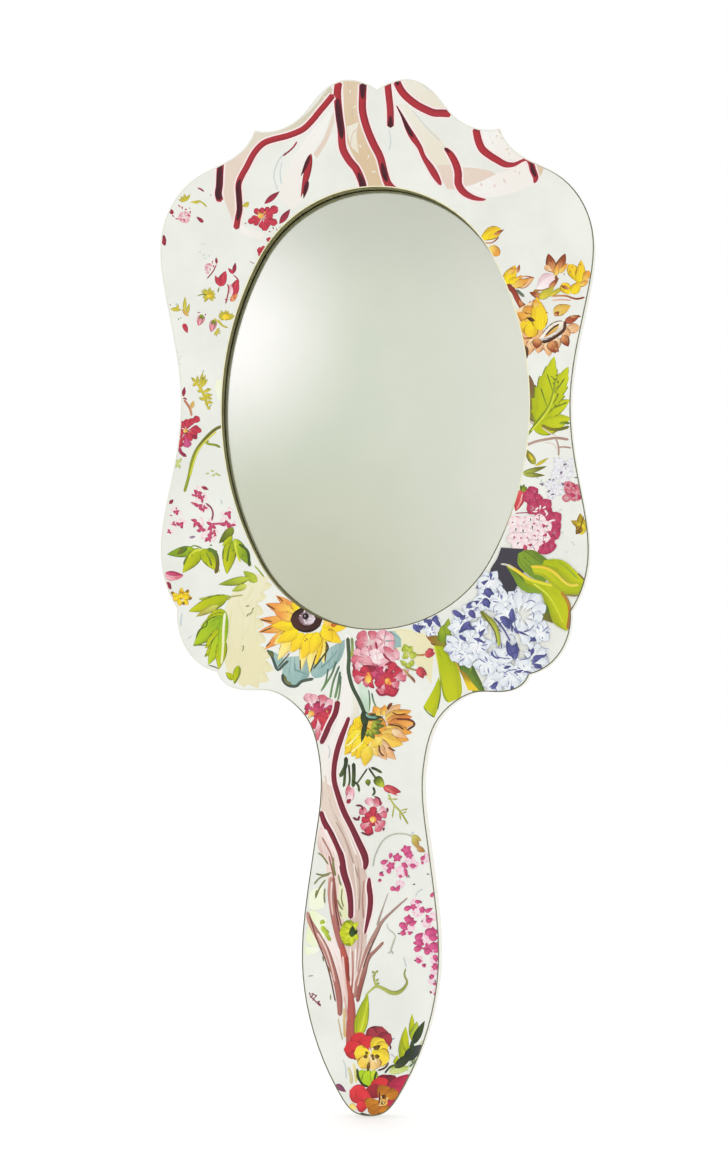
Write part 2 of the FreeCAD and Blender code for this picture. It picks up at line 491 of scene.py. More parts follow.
class Shader:
    """A node material under construction."""

    def __init__(self, name):
        self.material = bpy.data.materials.new(name)
        self.material.use_nodes = True
        self.tree = self.material.node_tree
        self.surface = self.tree.nodes["Principled BSDF"]

    def set(self, **values):
        """Plain values for the surface's own sockets, with underscores for spaces."""
        for key, value in values.items():
            self.surface.inputs[key.replace("_", " ")].default_value = value

    def link(self, socket, name):
        self.tree.links.new(socket, self.surface.inputs[name])

    def split(self, value, kind="XYZ"):
        """The parts of a vector, or of a colour where kind is Color."""
        made = self.tree.nodes.new("ShaderNodeSeparate" + kind)
        self.tree.links.new(value, made.inputs[0])
        return made.outputs

    def node(self, kind, output, inputs, **settings):
        """A node of that kind with its inputs, given by name or number, linked or set."""
        made = self.tree.nodes.new("ShaderNode" + kind)
        for key, value in settings.items():
            setattr(made, key, value)
        for key, value in inputs.items():
            if isinstance(value, bpy.types.NodeSocket):
                self.tree.links.new(value, made.inputs[key])
            else:
                made.inputs[key].default_value = value
        return made.outputs[output]

    def attribute(self, name, output="Color"):
        return self.node("Attribute", output, {}, attribute_name=name)

    def maths(self, operation, a, b=0.0, c=0.0, clamp=False):
        return self.node("Math", 0, {0: a, 1: b, 2: c}, operation=operation, use_clamp=clamp)

    def ramp(self, value, low, high, first=0.0, last=1.0):
        """A smooth step from first to last as value goes from low to high."""
        inputs = {"Value": value, "From Min": low, "From Max": high, "To Min": first, "To Max": last}
        return self.node("MapRange", 0, inputs, interpolation_type="SMOOTHSTEP")

    def noise(self, vector, scale, detail=2.0, roughness=0.5):
        inputs = {"Vector": vector, "Scale": scale, "Detail": detail, "Roughness": roughness}
        return self.node("TexNoise", "Fac", inputs)

    def mix(self, share, a, b, blend="MIX"):
        return self.node("Mix", 2, {0: share, 6: a, 7: b}, data_type="RGBA", blend_type=blend)

    def place(self):
        return self.node("TexCoord", "Object", {})

    def combine(self, x, y, z):
        return self.node("CombineXYZ", 0, {0: x, 1: y, 2: z})

    def bump(self, height, strength, distance):
        inputs = {"Height": height, "Strength": strength, "Distance": distance}
        self.link(self.node("Bump", 0, inputs), "Normal")


def ink_material():
    """Printed ink: each shape's own base, tip and line colours, laid in streaks along it."""
    s = Shader("printed_ink")
    place = s.place()
    u, v, seed = s.split(s.attribute("ink_uv", "Vector"))
    edge, streak, shade = s.split(s.attribute("ink_set"), "Color")
    vein = s.attribute("ink_set", "Alpha")
    base, tip, line = (s.attribute("ink_" + key) for key in ("base", "tip", "line"))

    across = s.maths("ABSOLUTE", v)
    brush = s.noise(s.combine(s.maths("MULTIPLY", u, 1.6), s.maths("MULTIPLY", v, 3.4), seed), 1.7, 3.0, 0.6)
    brush = s.maths("SUBTRACT", brush, 0.5)
    wobble = s.maths("SUBTRACT", s.noise(place, 900.0, 2.0), 0.5)

    grow = s.ramp(s.maths("MULTIPLY_ADD", brush, s.maths("MULTIPLY", streak, 1.8), u), 0.12, 0.80)
    colour = s.mix(grow, base, tip)
    side = s.ramp(s.maths("MULTIPLY_ADD", brush, 1.3, v), 0.05, 0.75)
    colour = s.mix(s.maths("MULTIPLY", side, shade, clamp=True), colour, line)
    hatch = s.maths("MULTIPLY", s.ramp(brush, 0.06, 0.17), s.ramp(u, 0.75, 0.15))
    colour = s.mix(s.maths("MULTIPLY", hatch, streak, clamp=True), colour, line)
    rib = s.maths("MULTIPLY", s.ramp(across, 0.16, 0.04), s.ramp(u, 1.0, 0.75))
    colour = s.mix(s.maths("MULTIPLY", rib, vein, clamp=True), colour, base)
    rim = s.maths("MULTIPLY_ADD", wobble, 0.5, s.maths("ADD", across, s.maths("MULTIPLY", brush, 0.5)))
    start = s.maths("SUBTRACT", 1.0, edge)
    rim = s.ramp(s.maths("SUBTRACT", rim, start), -0.04, 0.08)
    rim = s.maths("MULTIPLY", rim, s.ramp(edge, 0.0, 0.02))
    colour = s.mix(s.maths("MULTIPLY", rim, 0.85), colour, line)
    grain = s.noise(place, 2600.0, 2.0, 0.7)
    colour = s.mix(0.22, colour, s.mix(grain, (0.35, 0.35, 0.35, 1), (1, 1, 1, 1)), "SOFT_LIGHT")
    s.link(colour, "Base Color")
    s.link(s.ramp(grain, 0.3, 0.7, 0.40, 0.52), "Roughness")
    s.set(Coat_Weight=0.15, Coat_Roughness=0.2, Specular_IOR_Level=0.2)
    s.bump(s.noise(place, 700.0, 3.0, 0.6), 0.12, 0.00012)
    return s.material


def paper_material():
    """The white ground of the print: smooth paper with a faint mottle, under varnish."""
    s = Shader("white_paper")
    place = s.place()
    cloud = s.ramp(s.noise(place, 42.0, 4.0, 0.6), 0.35, 0.68)
    colour = s.mix(cloud, hexa("E2E4DC"), hexa("EAECE4"))
    fleck = s.ramp(s.noise(place, 900.0, 3.0, 0.7), 0.60, 0.78)
    colour = s.mix(s.maths("MULTIPLY", fleck, 0.35), colour, hexa("D8DBD2"))
    s.link(colour, "Base Color")
    s.link(s.ramp(s.noise(place, 160.0, 3.0), 0.3, 0.7, 0.40, 0.50), "Roughness")
    s.set(Coat_Weight=0.15, Coat_Roughness=0.2, Specular_IOR_Level=0.2)
    s.bump(s.noise(place, 520.0, 4.0, 0.65), 0.10, 0.00015)
    return s.material


def band_material(name, light, dark, rim, painted_shade_rim, shine, lean, painted_shade_range):
    """A painted strip, rubbed along its length.

    Its rim, which faces front and back, turns to a painted shade colour where lean * x - z goes through
    the two values of the painted shade range: painted shade on the side of the rim away from the key light.
    """
    s = Shader(name)
    place = s.place()
    stretched = s.node("Mapping", 0, {"Vector": place, "Scale": (1.0, 6.0, 1.0)})
    rub = s.ramp(s.noise(stretched, 320.0, 4.0, 0.7), 0.35, 0.7)
    colour = s.mix(rub, hexa(dark), hexa(light))
    worn = s.ramp(s.noise(place, 95.0, 3.0, 0.6), 0.56, 0.74)
    colour = s.mix(s.maths("MULTIPLY", worn, 0.5), colour, hexa(light))
    facing = s.split(s.node("TexCoord", "Normal", {}))[1]
    cut = s.ramp(s.maths("ABSOLUTE", facing), 0.55, 0.9)
    # painted shade: the rim darkens past the given range of lean * x - z, on its lower right, away from the
    # key light
    x, _, z = s.split(place)
    painted_shade_side = s.maths("SUBTRACT", s.maths("MULTIPLY", x, lean), z)
    rim_and_painted_shade = s.mix(s.ramp(painted_shade_side, *painted_shade_range), hexa(rim), hexa(painted_shade_rim))
    s.link(s.mix(cut, colour, rim_and_painted_shade), "Base Color")
    s.link(s.ramp(s.noise(stretched, 500.0, 3.0), 0.3, 0.7, 0.32, 0.52), "Roughness")
    s.set(Coat_Weight=shine * 0.4, Coat_Roughness=0.25, Specular_IOR_Level=shine)
    s.bump(s.noise(stretched, 700.0, 3.0), 0.2, 0.0001)
    return s.material


def board_material():
    """Pressed wood-fibre board."""
    s = Shader("fibre_board")
    place = s.place()
    fibre = s.noise(s.node("Mapping", 0, {"Vector": place, "Scale": (1.0, 4.0, 1.0)}), 900.0, 4.0, 0.7)
    s.link(s.mix(s.ramp(fibre, 0.35, 0.65), hexa("8E6E4B"), hexa("B6946A")), "Base Color")
    s.link(s.ramp(fibre, 0.3, 0.7, 0.75, 0.9), "Roughness")
    s.bump(fibre, 0.3, 0.0002)
    return s.material


def inner_material(name, first, second, roughness, scale):
    """A hidden inner part: two close tones, with a fine texture."""
    s = Shader(name)
    place = s.place()
    tone = s.ramp(s.noise(place, scale, 3.0), 0.35, 0.65)
    s.link(s.mix(tone, hexa(first), hexa(second)), "Base Color")
    s.set(Roughness=roughness)
    s.bump(s.noise(place, scale * 4, 3.0), 0.2, 0.0001)
    return s.material


def glass_material():
    """Clear float glass with a faint green cast and the finest waviness."""
    s = Shader("float_glass")
    place = s.place()
    s.set(Base_Color=hexa("F3F7F2"), Roughness=0.0, IOR=1.5, Transmission_Weight=1.0)
    s.bump(s.noise(place, 18.0, 1.0), 0.02, 0.0002)
    return s.material


def silver_material():
    """The silver film behind the glass."""
    s = Shader("silver_film")
    place = s.place()
    cloud = s.ramp(s.noise(place, 30.0, 3.0), 0.3, 0.7)
    s.link(s.mix(cloud, hexa("E3E7DC"), hexa("E8EBE1")), "Base Color")
    s.set(Metallic=1.0, Roughness=0.06)
    return s.material


ink = ink_material()
paper = paper_material()
coats = {
    "front_print_sheet": paper,
    "back_print_sheet": paper,
    "front_board": board_material(),
    "board_glue_film": inner_material("dry_glue", "D9CFA6", "CBBE90", 0.45, 220.0),
    # 6A6A52 is painted shade on the rim's lower right, the side away from the key light
    "edge_band": band_material(
        "edge_strip", "EEECE1", "DFDCCD", "E2E0D4", "6A6A52", 0.3, 2.0, (-0.144, -0.096)
    ),
    # 625D3E is painted shade on the opening rim's lower right, the side away from the key light
    "opening_band": band_material(
        "opening_strip", "9A9446", "57501A", "EFEBC6", "625D3E", 0.05, 0.3, (-0.120, -0.098)
    ),
    "mirror_glass": glass_material(),
    "mirror_silvering": silver_material(),
    "mirror_backing_paint": inner_material("backing_paint", "4C5052", "585D60", 0.6, 150.0),
    "glass_foam_pads": inner_material("foam_tape", "E4E3DC", "D2D1C8", 0.9, 1400.0),
}
coats["back_board"] = coats["front_board"]
for node, material in coats.items():
    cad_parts[node].material_slots[0].material = material


SILVER_SHIFT = 0.03 * MM


def silver_piece():
    """The silvering, sunk a hair into the glass so that the two faces don't coincide."""
    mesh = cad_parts["mirror_silvering"].data.copy()
    mesh.name = "silver_film"
    for vertex in mesh.vertices:
        vertex.co.y -= SILVER_SHIFT
    piece = bpy.data.objects.new("silver_film", mesh)
    bpy.context.scene.collection.objects.link(piece)
    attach(piece, "root")
    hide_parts("mirror_silvering")


silver_piece()


def front_ribbons():
    """The folded ribbons above the mirror."""
    m = Motif("front_ribbon_folds")
    patch(m, [(-13.8, 245.4), (-20.4, 237.4), (-26.6, 234.3), (-37.2, 233), (-40.7, 227.2), (-44.2, 223.7)],
        [(-12, 243.1), (-17.3, 236.1), (-23, 232.1), (-31, 229), (-34.9, 226.3), (-38.4, 223.2)],
        ("CCC6AF", "DAD3C0", "B8AC92"))
    patch(m, [(-44.2, 223.7), (-44.7, 218.3), (-44.6, 213), (-42.7, 207.7), (-42.3, 206.4)],
        [(-37.1, 227.2), (-39.7, 220.1), (-40.6, 216.6), (-40.6, 210.8), (-41.2, 205.9)], BLUSH)
    patch(m, [(-12.9, 238.7), (-15.9, 230.7), (-18.1, 226.8), (-19.4, 223.7), (-20.7, 219.2), (-21.1, 212.1)],
        [(-18.1, 233.4), (-23, 226.8), (-25.8, 221.4), (-27.8, 216.6), (-27.7, 212.1), (-25, 209.5)],
        PALE_FOLD)
    patch(m, [(-12.8, 237.8), (-15.2, 230.7), (-18.5, 225.4)],
        [(-12.2, 235.6), (-14.1, 229.9), (-17.4, 224.3)], BLUSH)
    patch(m, [(-10, 246.7), (-9.5, 237.4), (-8.6, 229), (-5.2, 221.9), (-2.9, 215.2)],
        [(-4.9, 246.7), (-4.7, 237.4), (-3.1, 231.2), (0.3, 224.5), (2.4, 215.2)], TAN)
    patch(m, [(-8.8, 233.4), (-8.3, 229.9), (-7.2, 227.2)], [(-5.3, 234.7), (-5.9, 231.2), (-5.2, 225.4)],
        CREAM)
    patch(m, [(6, 247.4), (8.8, 242.8), (13, 239.6), (19.5, 238.6)],
        [(9.7, 249.2), (14.8, 246), (18.5, 241.9), (21.3, 237.7)], CREAM)
    patch(m, [(6.3, 240), (10.3, 233.6), (13.1, 228), (15.9, 223.4), (18.7, 218.3)],
        [(8.8, 239.6), (14.4, 233.6), (18.1, 230.3), (20.5, 226.2), (22.8, 222)], CREAM)
    patch(m, [(17.7, 222), (18.7, 218.8), (20.6, 215.1)], [(22.4, 222), (24.2, 219.7), (24.7, 214.6)], BLUSH)
    patch(m, [(24.7, 221.3), (29.8, 220.6), (36.2, 219.7), (43.1, 222.5)],
        [(26.1, 215.1), (31.7, 212.6), (38.6, 213.3), (45.9, 216.2)], PALE_FOLD)
    patch(m, [(24.7, 221.3), (28.8, 221), (33, 220.2)], [(25.6, 215.6), (28.9, 216.5), (34.8, 219.2)], BLUSH)
    patch(m, [(30.6, 232.9), (31.5, 228), (35.3, 224.3), (41.3, 223.2)],
        [(35.4, 233.6), (38.5, 228.5), (42.2, 224.8), (43.1, 224.1)], PALE_FOLD)
    patch(m, [(45.7, 222.5), (46.4, 220.2), (46.8, 218.3)], [(48.7, 222), (48.4, 220.2), (47.3, 217.9)], TAN)
    strokes(m, GREY, ([(-28.8, 214.8), (-30, 219.2), (-28.9, 223.2), (-26.5, 226.3)], 0.35),
        ([(-27.6, 223.7), (-28.2, 220.1), (-27.8, 216.6)], 0.3),
        ([(3.6, 232.6), (4.1, 228.9), (3.6, 226.2)], 0.3),
        ([(10.2, 238.2), (14.9, 232.6), (18.6, 228.9)], 0.25),
        ([(13, 245.5), (16.2, 243.2), (19, 240.2)], 0.3))
    stroke(m, [(35.2, 232.2), (38.5, 228), (42.2, 225)], TAN, 0.35)
    stroke(m, [(-7.7, 227.2), (-7.1, 231.2), (-5.3, 233)], BLUSH, 0.4)
    specks(m, [(35.2, 230.3), (36.1, 229.4), (37.6, 226.2), (33.8, 228), (38.9, 224.8)], TAN)
    specks(m, [(-8, 243.1), (-7.1, 238.7), (-4.4, 227.2), (-2.6, 223.7), (-1.6, 220.1), (-14.7, 241.8)],
        CREAM, 0.6)
    specks(m, [(30.7, 215.6), (34.4, 215.1), (37.6, 216.5), (41.3, 218.8), (39.9, 219.7)], BLUSH, 0.5)
    m.build()

    m = Motif("front_ribbon_edges")
    stripe(m, [(-11.2, 246.7), (-11.6, 243.1), (-11.1, 237.4), (-10.4, 232.5), (-9.9, 227.2), (-8.1, 223.7),
        (-5.9, 221), (-4.3, 217.5), (-3.6, 214.4)], 2.2, [(0.16, 0.5), (0.83, 1)])
    stripe(m, [(-12.7, 242.9), (-14.7, 240.4), (-16.9, 237.8), (-19, 235.2), (-21.7, 232.7), (-25.7, 231),
        (-30.1, 229.9), (-32.7, 229), (-34.5, 227.6), (-36.2, 225.4), (-38, 221.9), (-39.5, 219.2),
        (-40.4, 216.6), (-40.2, 213), (-40, 209.5), (-40.5, 206.8), (-41, 203.5)], 1.8, [(0.72, 0.98)])
    stripe(m, [(-4.1, 246.2), (-4.2, 242.8), (-4.2, 238.2), (-3.1, 233.6), (-1.2, 228.9), (1.1, 224.3),
        (2.3, 219.7), (3.5, 216.5), (5.6, 214.4)], 2.2, [(0, 0.16), (0.72, 0.9)])
    stripe(m, [(-45.7, 223.7), (-45.9, 220.1), (-46, 216.6), (-46.3, 213.9), (-45.6, 211.6)], 2.1,
        [(0.05, 1)], (0.2, 0.8))
    stripe(m, [(3, 246.5), (3.4, 242.8), (3.9, 238.2), (4, 232.9)], 2, [(0, 0.1), (0.75, 1)], (0.2, 0.8))
    stripe(m, [(5.5, 246.8), (7, 243.9), (8.8, 241.8), (11.6, 239.6), (14.4, 238.1), (16.7, 237.2),
        (19, 237.1), (21.8, 236.9)], 2.2, [(0, 0.1)])
    rows = [(5.6, 239.6, 0.3), (7.4, 236.3, 0.8), (8.9, 233.1, 1.5), (10.5, 230.3, 1.9), (12.5, 227.3, 1.5),
        (13.8, 224.3, 1.4), (15.9, 221.1, 2), (17.4, 218.6, 1.9), (18.9, 216, 0.8)]
    stripe(m, rows, 1.5, [(0, 0.42)])
    rows = [(19.7, 227.1, 0.8), (21.5, 225.2, 1.8), (23, 222.5, 2.1), (23.8, 219.7, 2.2), (23.9, 216.5, 2.2),
        (25.3, 214.2, 2), (27.6, 212.7, 1.6), (29.9, 212, 1.1), (32, 211.8, 0.5)]
    stripe(m, rows, 2, [(0, 0.12)])
    rows = [(28.8, 232.9, 2.1), (29.5, 229.4, 2.2), (30.7, 226.6, 2.2), (32.9, 224.7, 2.1), (35.3, 223.2, 2),
        (37.6, 222, 1.8), (40.1, 222, 1.2), (42.2, 223, 0.8), (43.7, 223.4, 1), (44.9, 222.2, 1.7),
        (45.5, 220.2, 1.9), (46.3, 218.1, 1.6), (45.8, 216.4, 0.6)]
    stripe(m, rows, 2, [(0, 0.05), (0.78, 0.95)])
    blade(m, -19.2, 225.7, -21.3, 212.6, 2.1, RIBBON, "leaf", bend=-0.06)
    blade(m, -19.5, 225.4, -21.5, 218.8, 1.2, RIBBON_DARK, "leaf", bend=-0.1)
    blade(m, -20, 217.9, -21.3, 212.4, 1.4, RIBBON_DARK, "leaf")
    stroke(m, [(-23.2, 229.3), (-24.7, 227.2), (-27.5, 224.9)], DEEP_ROSE, 0.5)
    m.build()


def upper_left_flowers():
    """Crimson blossoms and small sprigs left of the mirror's top."""
    m = Motif("front_crimson_blossoms")
    blades(m, DEEP_ROSE, "point", (-32.8, 211, -28.2, 214.7, 1.7), (-28.3, 205.1, -25.1, 209.5, 1.9))
    burst(m, -37.9, 210.1, 2.2, 70, 150, 4, 0.7, SPRIG)
    blossom(m, -33.2, 207, 3.4, 9, ROSE, None, turn=20, wide=0.75)
    blade(m, -32.6, 207.3, -28.8, 210.1, 2.6, ROSE, "spoon", notch=0.1)
    blade(m, -33, 206.4, -28.8, 205.3, 2.2, ROSE, "spoon")
    blade(m, -33.4, 206.4, -32.1, 203.1, 2.2, ROSE, "spoon", notch=0.1)
    blade(m, -33.9, 206.8, -37.6, 205.7, 1.9, ROSE, "spoon")
    disc(m, -33.8, 207.6, 0.95, GOLD_HEART)
    specks(m, [(-34.6, 208.4), (-32.9, 208.2), (-33.4, 206.8), (-34.3, 207.2)], LEMON, 0.3)
    specks(m, [(-29.9, 203.5), (-28.8, 203.1), (-30.7, 202.8), (-28.3, 203.9), (-37.9, 205.3)], DEEP_ROSE,
        0.3)
    blades(m, ROSE, "spoon", (-32.2, 196.9, -34.8, 197.7, 1.9), (-32, 196.9, -34.5, 196.1, 1.9),
        (-32, 197.1, -33.4, 198.6, 1.4))
    blade(m, -31.2, 198.9, -31.2, 201.3, 1.8, ROSE, "spoon", notch=0.15)
    specks(m, [(-36.1, 193.9), (-35.5, 193.7)], DEEP_ROSE, 0.3)
    patch(m, [(-40, 202.8), (-36.9, 201.1), (-33.4, 200.4)], [(-39.6, 205.1), (-36.5, 203.5), (-32.5, 202.4)],
        PALE_FOLD)
    m.build()

    m = Motif("front_pink_sprigs")
    burst(m, -56, 211.9, 2.6, 60, 160, 5, 0.9, SPRIG)
    stroke(m, [(-54.7, 211.5), (-52.5, 211.9), (-51, 211.5), (-49.6, 210.1)], SPRIG, 0.5)
    blade(m, -53.6, 211.3, -51.4, 212.1, 0.9, SPRIG)
    blossom(m, -56.3, 207.3, 1.9, 6, PALE_PINK, None, turn=10)
    specks(m, [(-57.3, 210.1), (-56.9, 209.5), (-54.5, 208.2), (-54.3, 207.5), (-57.8, 206.7), (-57.3, 206.2),
        (-56, 205.9), (-59.2, 207.2), (-55.4, 209.5)], ROSE, 0.42)
    blade(m, -59.6, 208.2, -60.8, 209.9, 1.2, DEEP_ROSE, "bud")
    stroke(m, [(-52.6, 215.9), (-51.4, 215.4), (-50.4, 214.6)], DEEP_ROSE, 0.5)
    blade(m, -50.6, 205.7, -52.7, 207.4, 1.1, DEEP_ROSE, "bud")
    specks(m, [(-48.8, 213.6), (-50.6, 220.9), (-49.7, 221.2), (-54.6, 209.6)], DEEP_ROSE, 0.25)
    blade(m, -63.2, 200.4, -61.5, 200.6, 3.2, DEEP_ROSE, "round")
    specks(m, [(-50.6, 199.3), (-49.8, 199.2), (-51, 196.9), (-50, 196.1), (-49.3, 195.8), (-49.6, 195.1)],
        GREY, 0.35)
    burst(m, -48.7, 192.2, 1.9, 60, 250, 5, 1, PALE_PINK, "spoon")
    specks(m, [(-49.8, 192.2), (-49.3, 193.5), (-47.9, 193.5), (-48.6, 191.5), (-47.5, 192.4)], ROSE, 0.35)
    blade(m, -46.6, 193.5, -46.8, 195.5, 0.8, DEEP_ROSE)
    stroke(m, [(-46.6, 193.5), (-47.7, 191.3), (-49.5, 189.1)], DEEP_ROSE, 0.35)
    bud(m, -45.7, 186.9, -43.9, 191.5, 2.7, ROSE)
    blade(m, -45.8, 187.1, -47, 190.2, 1.3, ROSE)
    stroke(m, [(-45.7, 186.9), (-46.3, 185.1)], MOSS, 0.4)
    blades(m, None, "point", (-41.6, 190.7, -41.1, 194, 1.2, DEEP_ROSE),
        (-41.6, 190.5, -43.3, 192.4, 1, ROSE))
    stroke(m, [(-41.8, 190.4), (-40.4, 189.1), (-39.9, 187.8)], DEEP_ROSE, 0.35)
    bud(m, -41.9, 184.2, -40.4, 189.1, 2.8, ROSE)
    blade(m, -42.1, 184.2, -42.6, 187.8, 1.4, PALE_PINK)
    stroke(m, [(-43.5, 187.8), (-43, 186), (-43.9, 181.7)], DEEP_ROSE, 0.4)
    blade(m, -42.5, 182.6, -40.3, 184.8, 1.6, ("E8A06A", "D98A50", "A8562E"), "leaf")
    specks(m, [(-42.1, 182.6), (-41.4, 183.2), (-43, 183)], ROSE, 0.4)
    m.build()

    m = Motif("front_yellow_sprigs")
    burst(m, -48.8, 184.4, 2.7, -60, 230, 9, 1.1, SPRIG)
    disc(m, -48.7, 184.3, 0.8, LEMON)
    stroke(m, [(-52.3, 184.1), (-51, 184.6), (-49.2, 184.4)], MOSS, 0.3)
    blades(m, None, "point", (-60.2, 180.4, -56.7, 180.1, 1.2, SPRIG),
        (-58.2, 180.1, -57.8, 181.9, 0.8, SPRIG), (-56, 179.5, -55.8, 184.1, 1.1, SPRIG),
        (-55.4, 178.6, -54.5, 182.1, 1.1, SPRIG), (-54.7, 178.2, -56.7, 180.4, 1.2, STRAW))
    specks(m, [(-59.9, 181.3), (-58.7, 181.7), (-57.6, 177), (-57, 177.5)], MOSS, 0.3)
    burst(m, -43.8, 177.3, 3.4, 20, 160, 7, 1.3, SPRIG)
    disc(m, -43.7, 178.1, 1.1, LEMON)
    stroke(m, [(-46, 177.3), (-44.7, 175.5), (-42.9, 174.8)], SPRIG, 0.5)
    bud(m, -50.7, 178.8, -51.8, 175.4, 2.3, PINK, MOSS)
    specks(m, [(-49.8, 178.4), (-51.2, 179.3)], DEEP_ROSE, 0.35)
    bud(m, -47.1, 177.3, -48.1, 173.6, 2.2, PINK, MOSS)
    stroke(m, [(-47.4, 177.7), (-46, 176.7), (-44.5, 175.1)], SPRIG, 0.45)
    burst(m, -46.7, 173.9, 1.8, -110, 40, 5, 0.5, SPRIG)
    bud(m, -56.2, 176.2, -55, 173.3, 1.5, ROSE)
    stroke(m, [(-53, 159.5), (-51.4, 157.8), (-49.8, 154.7), (-48.9, 151.6)], SPRIG, 0.8)
    for ax, az, bx, bz in ((-51.2, 157.8, -50.3, 162.1), (-51, 157.3, -48.8, 160), (-51.9, 158.2, -51.9, 161),
            (-52.5, 159.1, -53.7, 160.3), (-52.3, 158.7, -53.4, 157.8), (-50.3, 156, -47.7, 157.1),
            (-50.1, 155.3, -47.3, 155.2), (-49.8, 154.7, -47.4, 154), (-49.4, 153.3, -47.2, 152.9),
            (-49.6, 153.8, -51.6, 154.5), (-50.5, 156.4, -52.1, 156.4), (-48.9, 152, -48.2, 150.9),
            (-50.8, 157.3, -49.5, 161.3)):
        blade(m, ax, az, bx, bz, 1, SPRIG, look=(0.1, 0.6, 0.4, 0))
    specks(m, [(-50.3, 161.8), (-53.2, 160), (-48.3, 151.8), (-49.7, 160), (-48.1, 156.9)], MOSS, 0.35)
    patch(m, [(-46.3, 159.5), (-46.8, 157.3), (-45.9, 153.8)], [(-45, 160), (-44.8, 157.3), (-45, 153.3)],
        ("EDEFD2", "E9EFD8", "E0E6C0"))
    specks(m, [(-57.6, 167.5), (-57.2, 166.2), (-57.4, 165.3), (-56.9, 164.4)], GREY, 0.3)
    m.build()


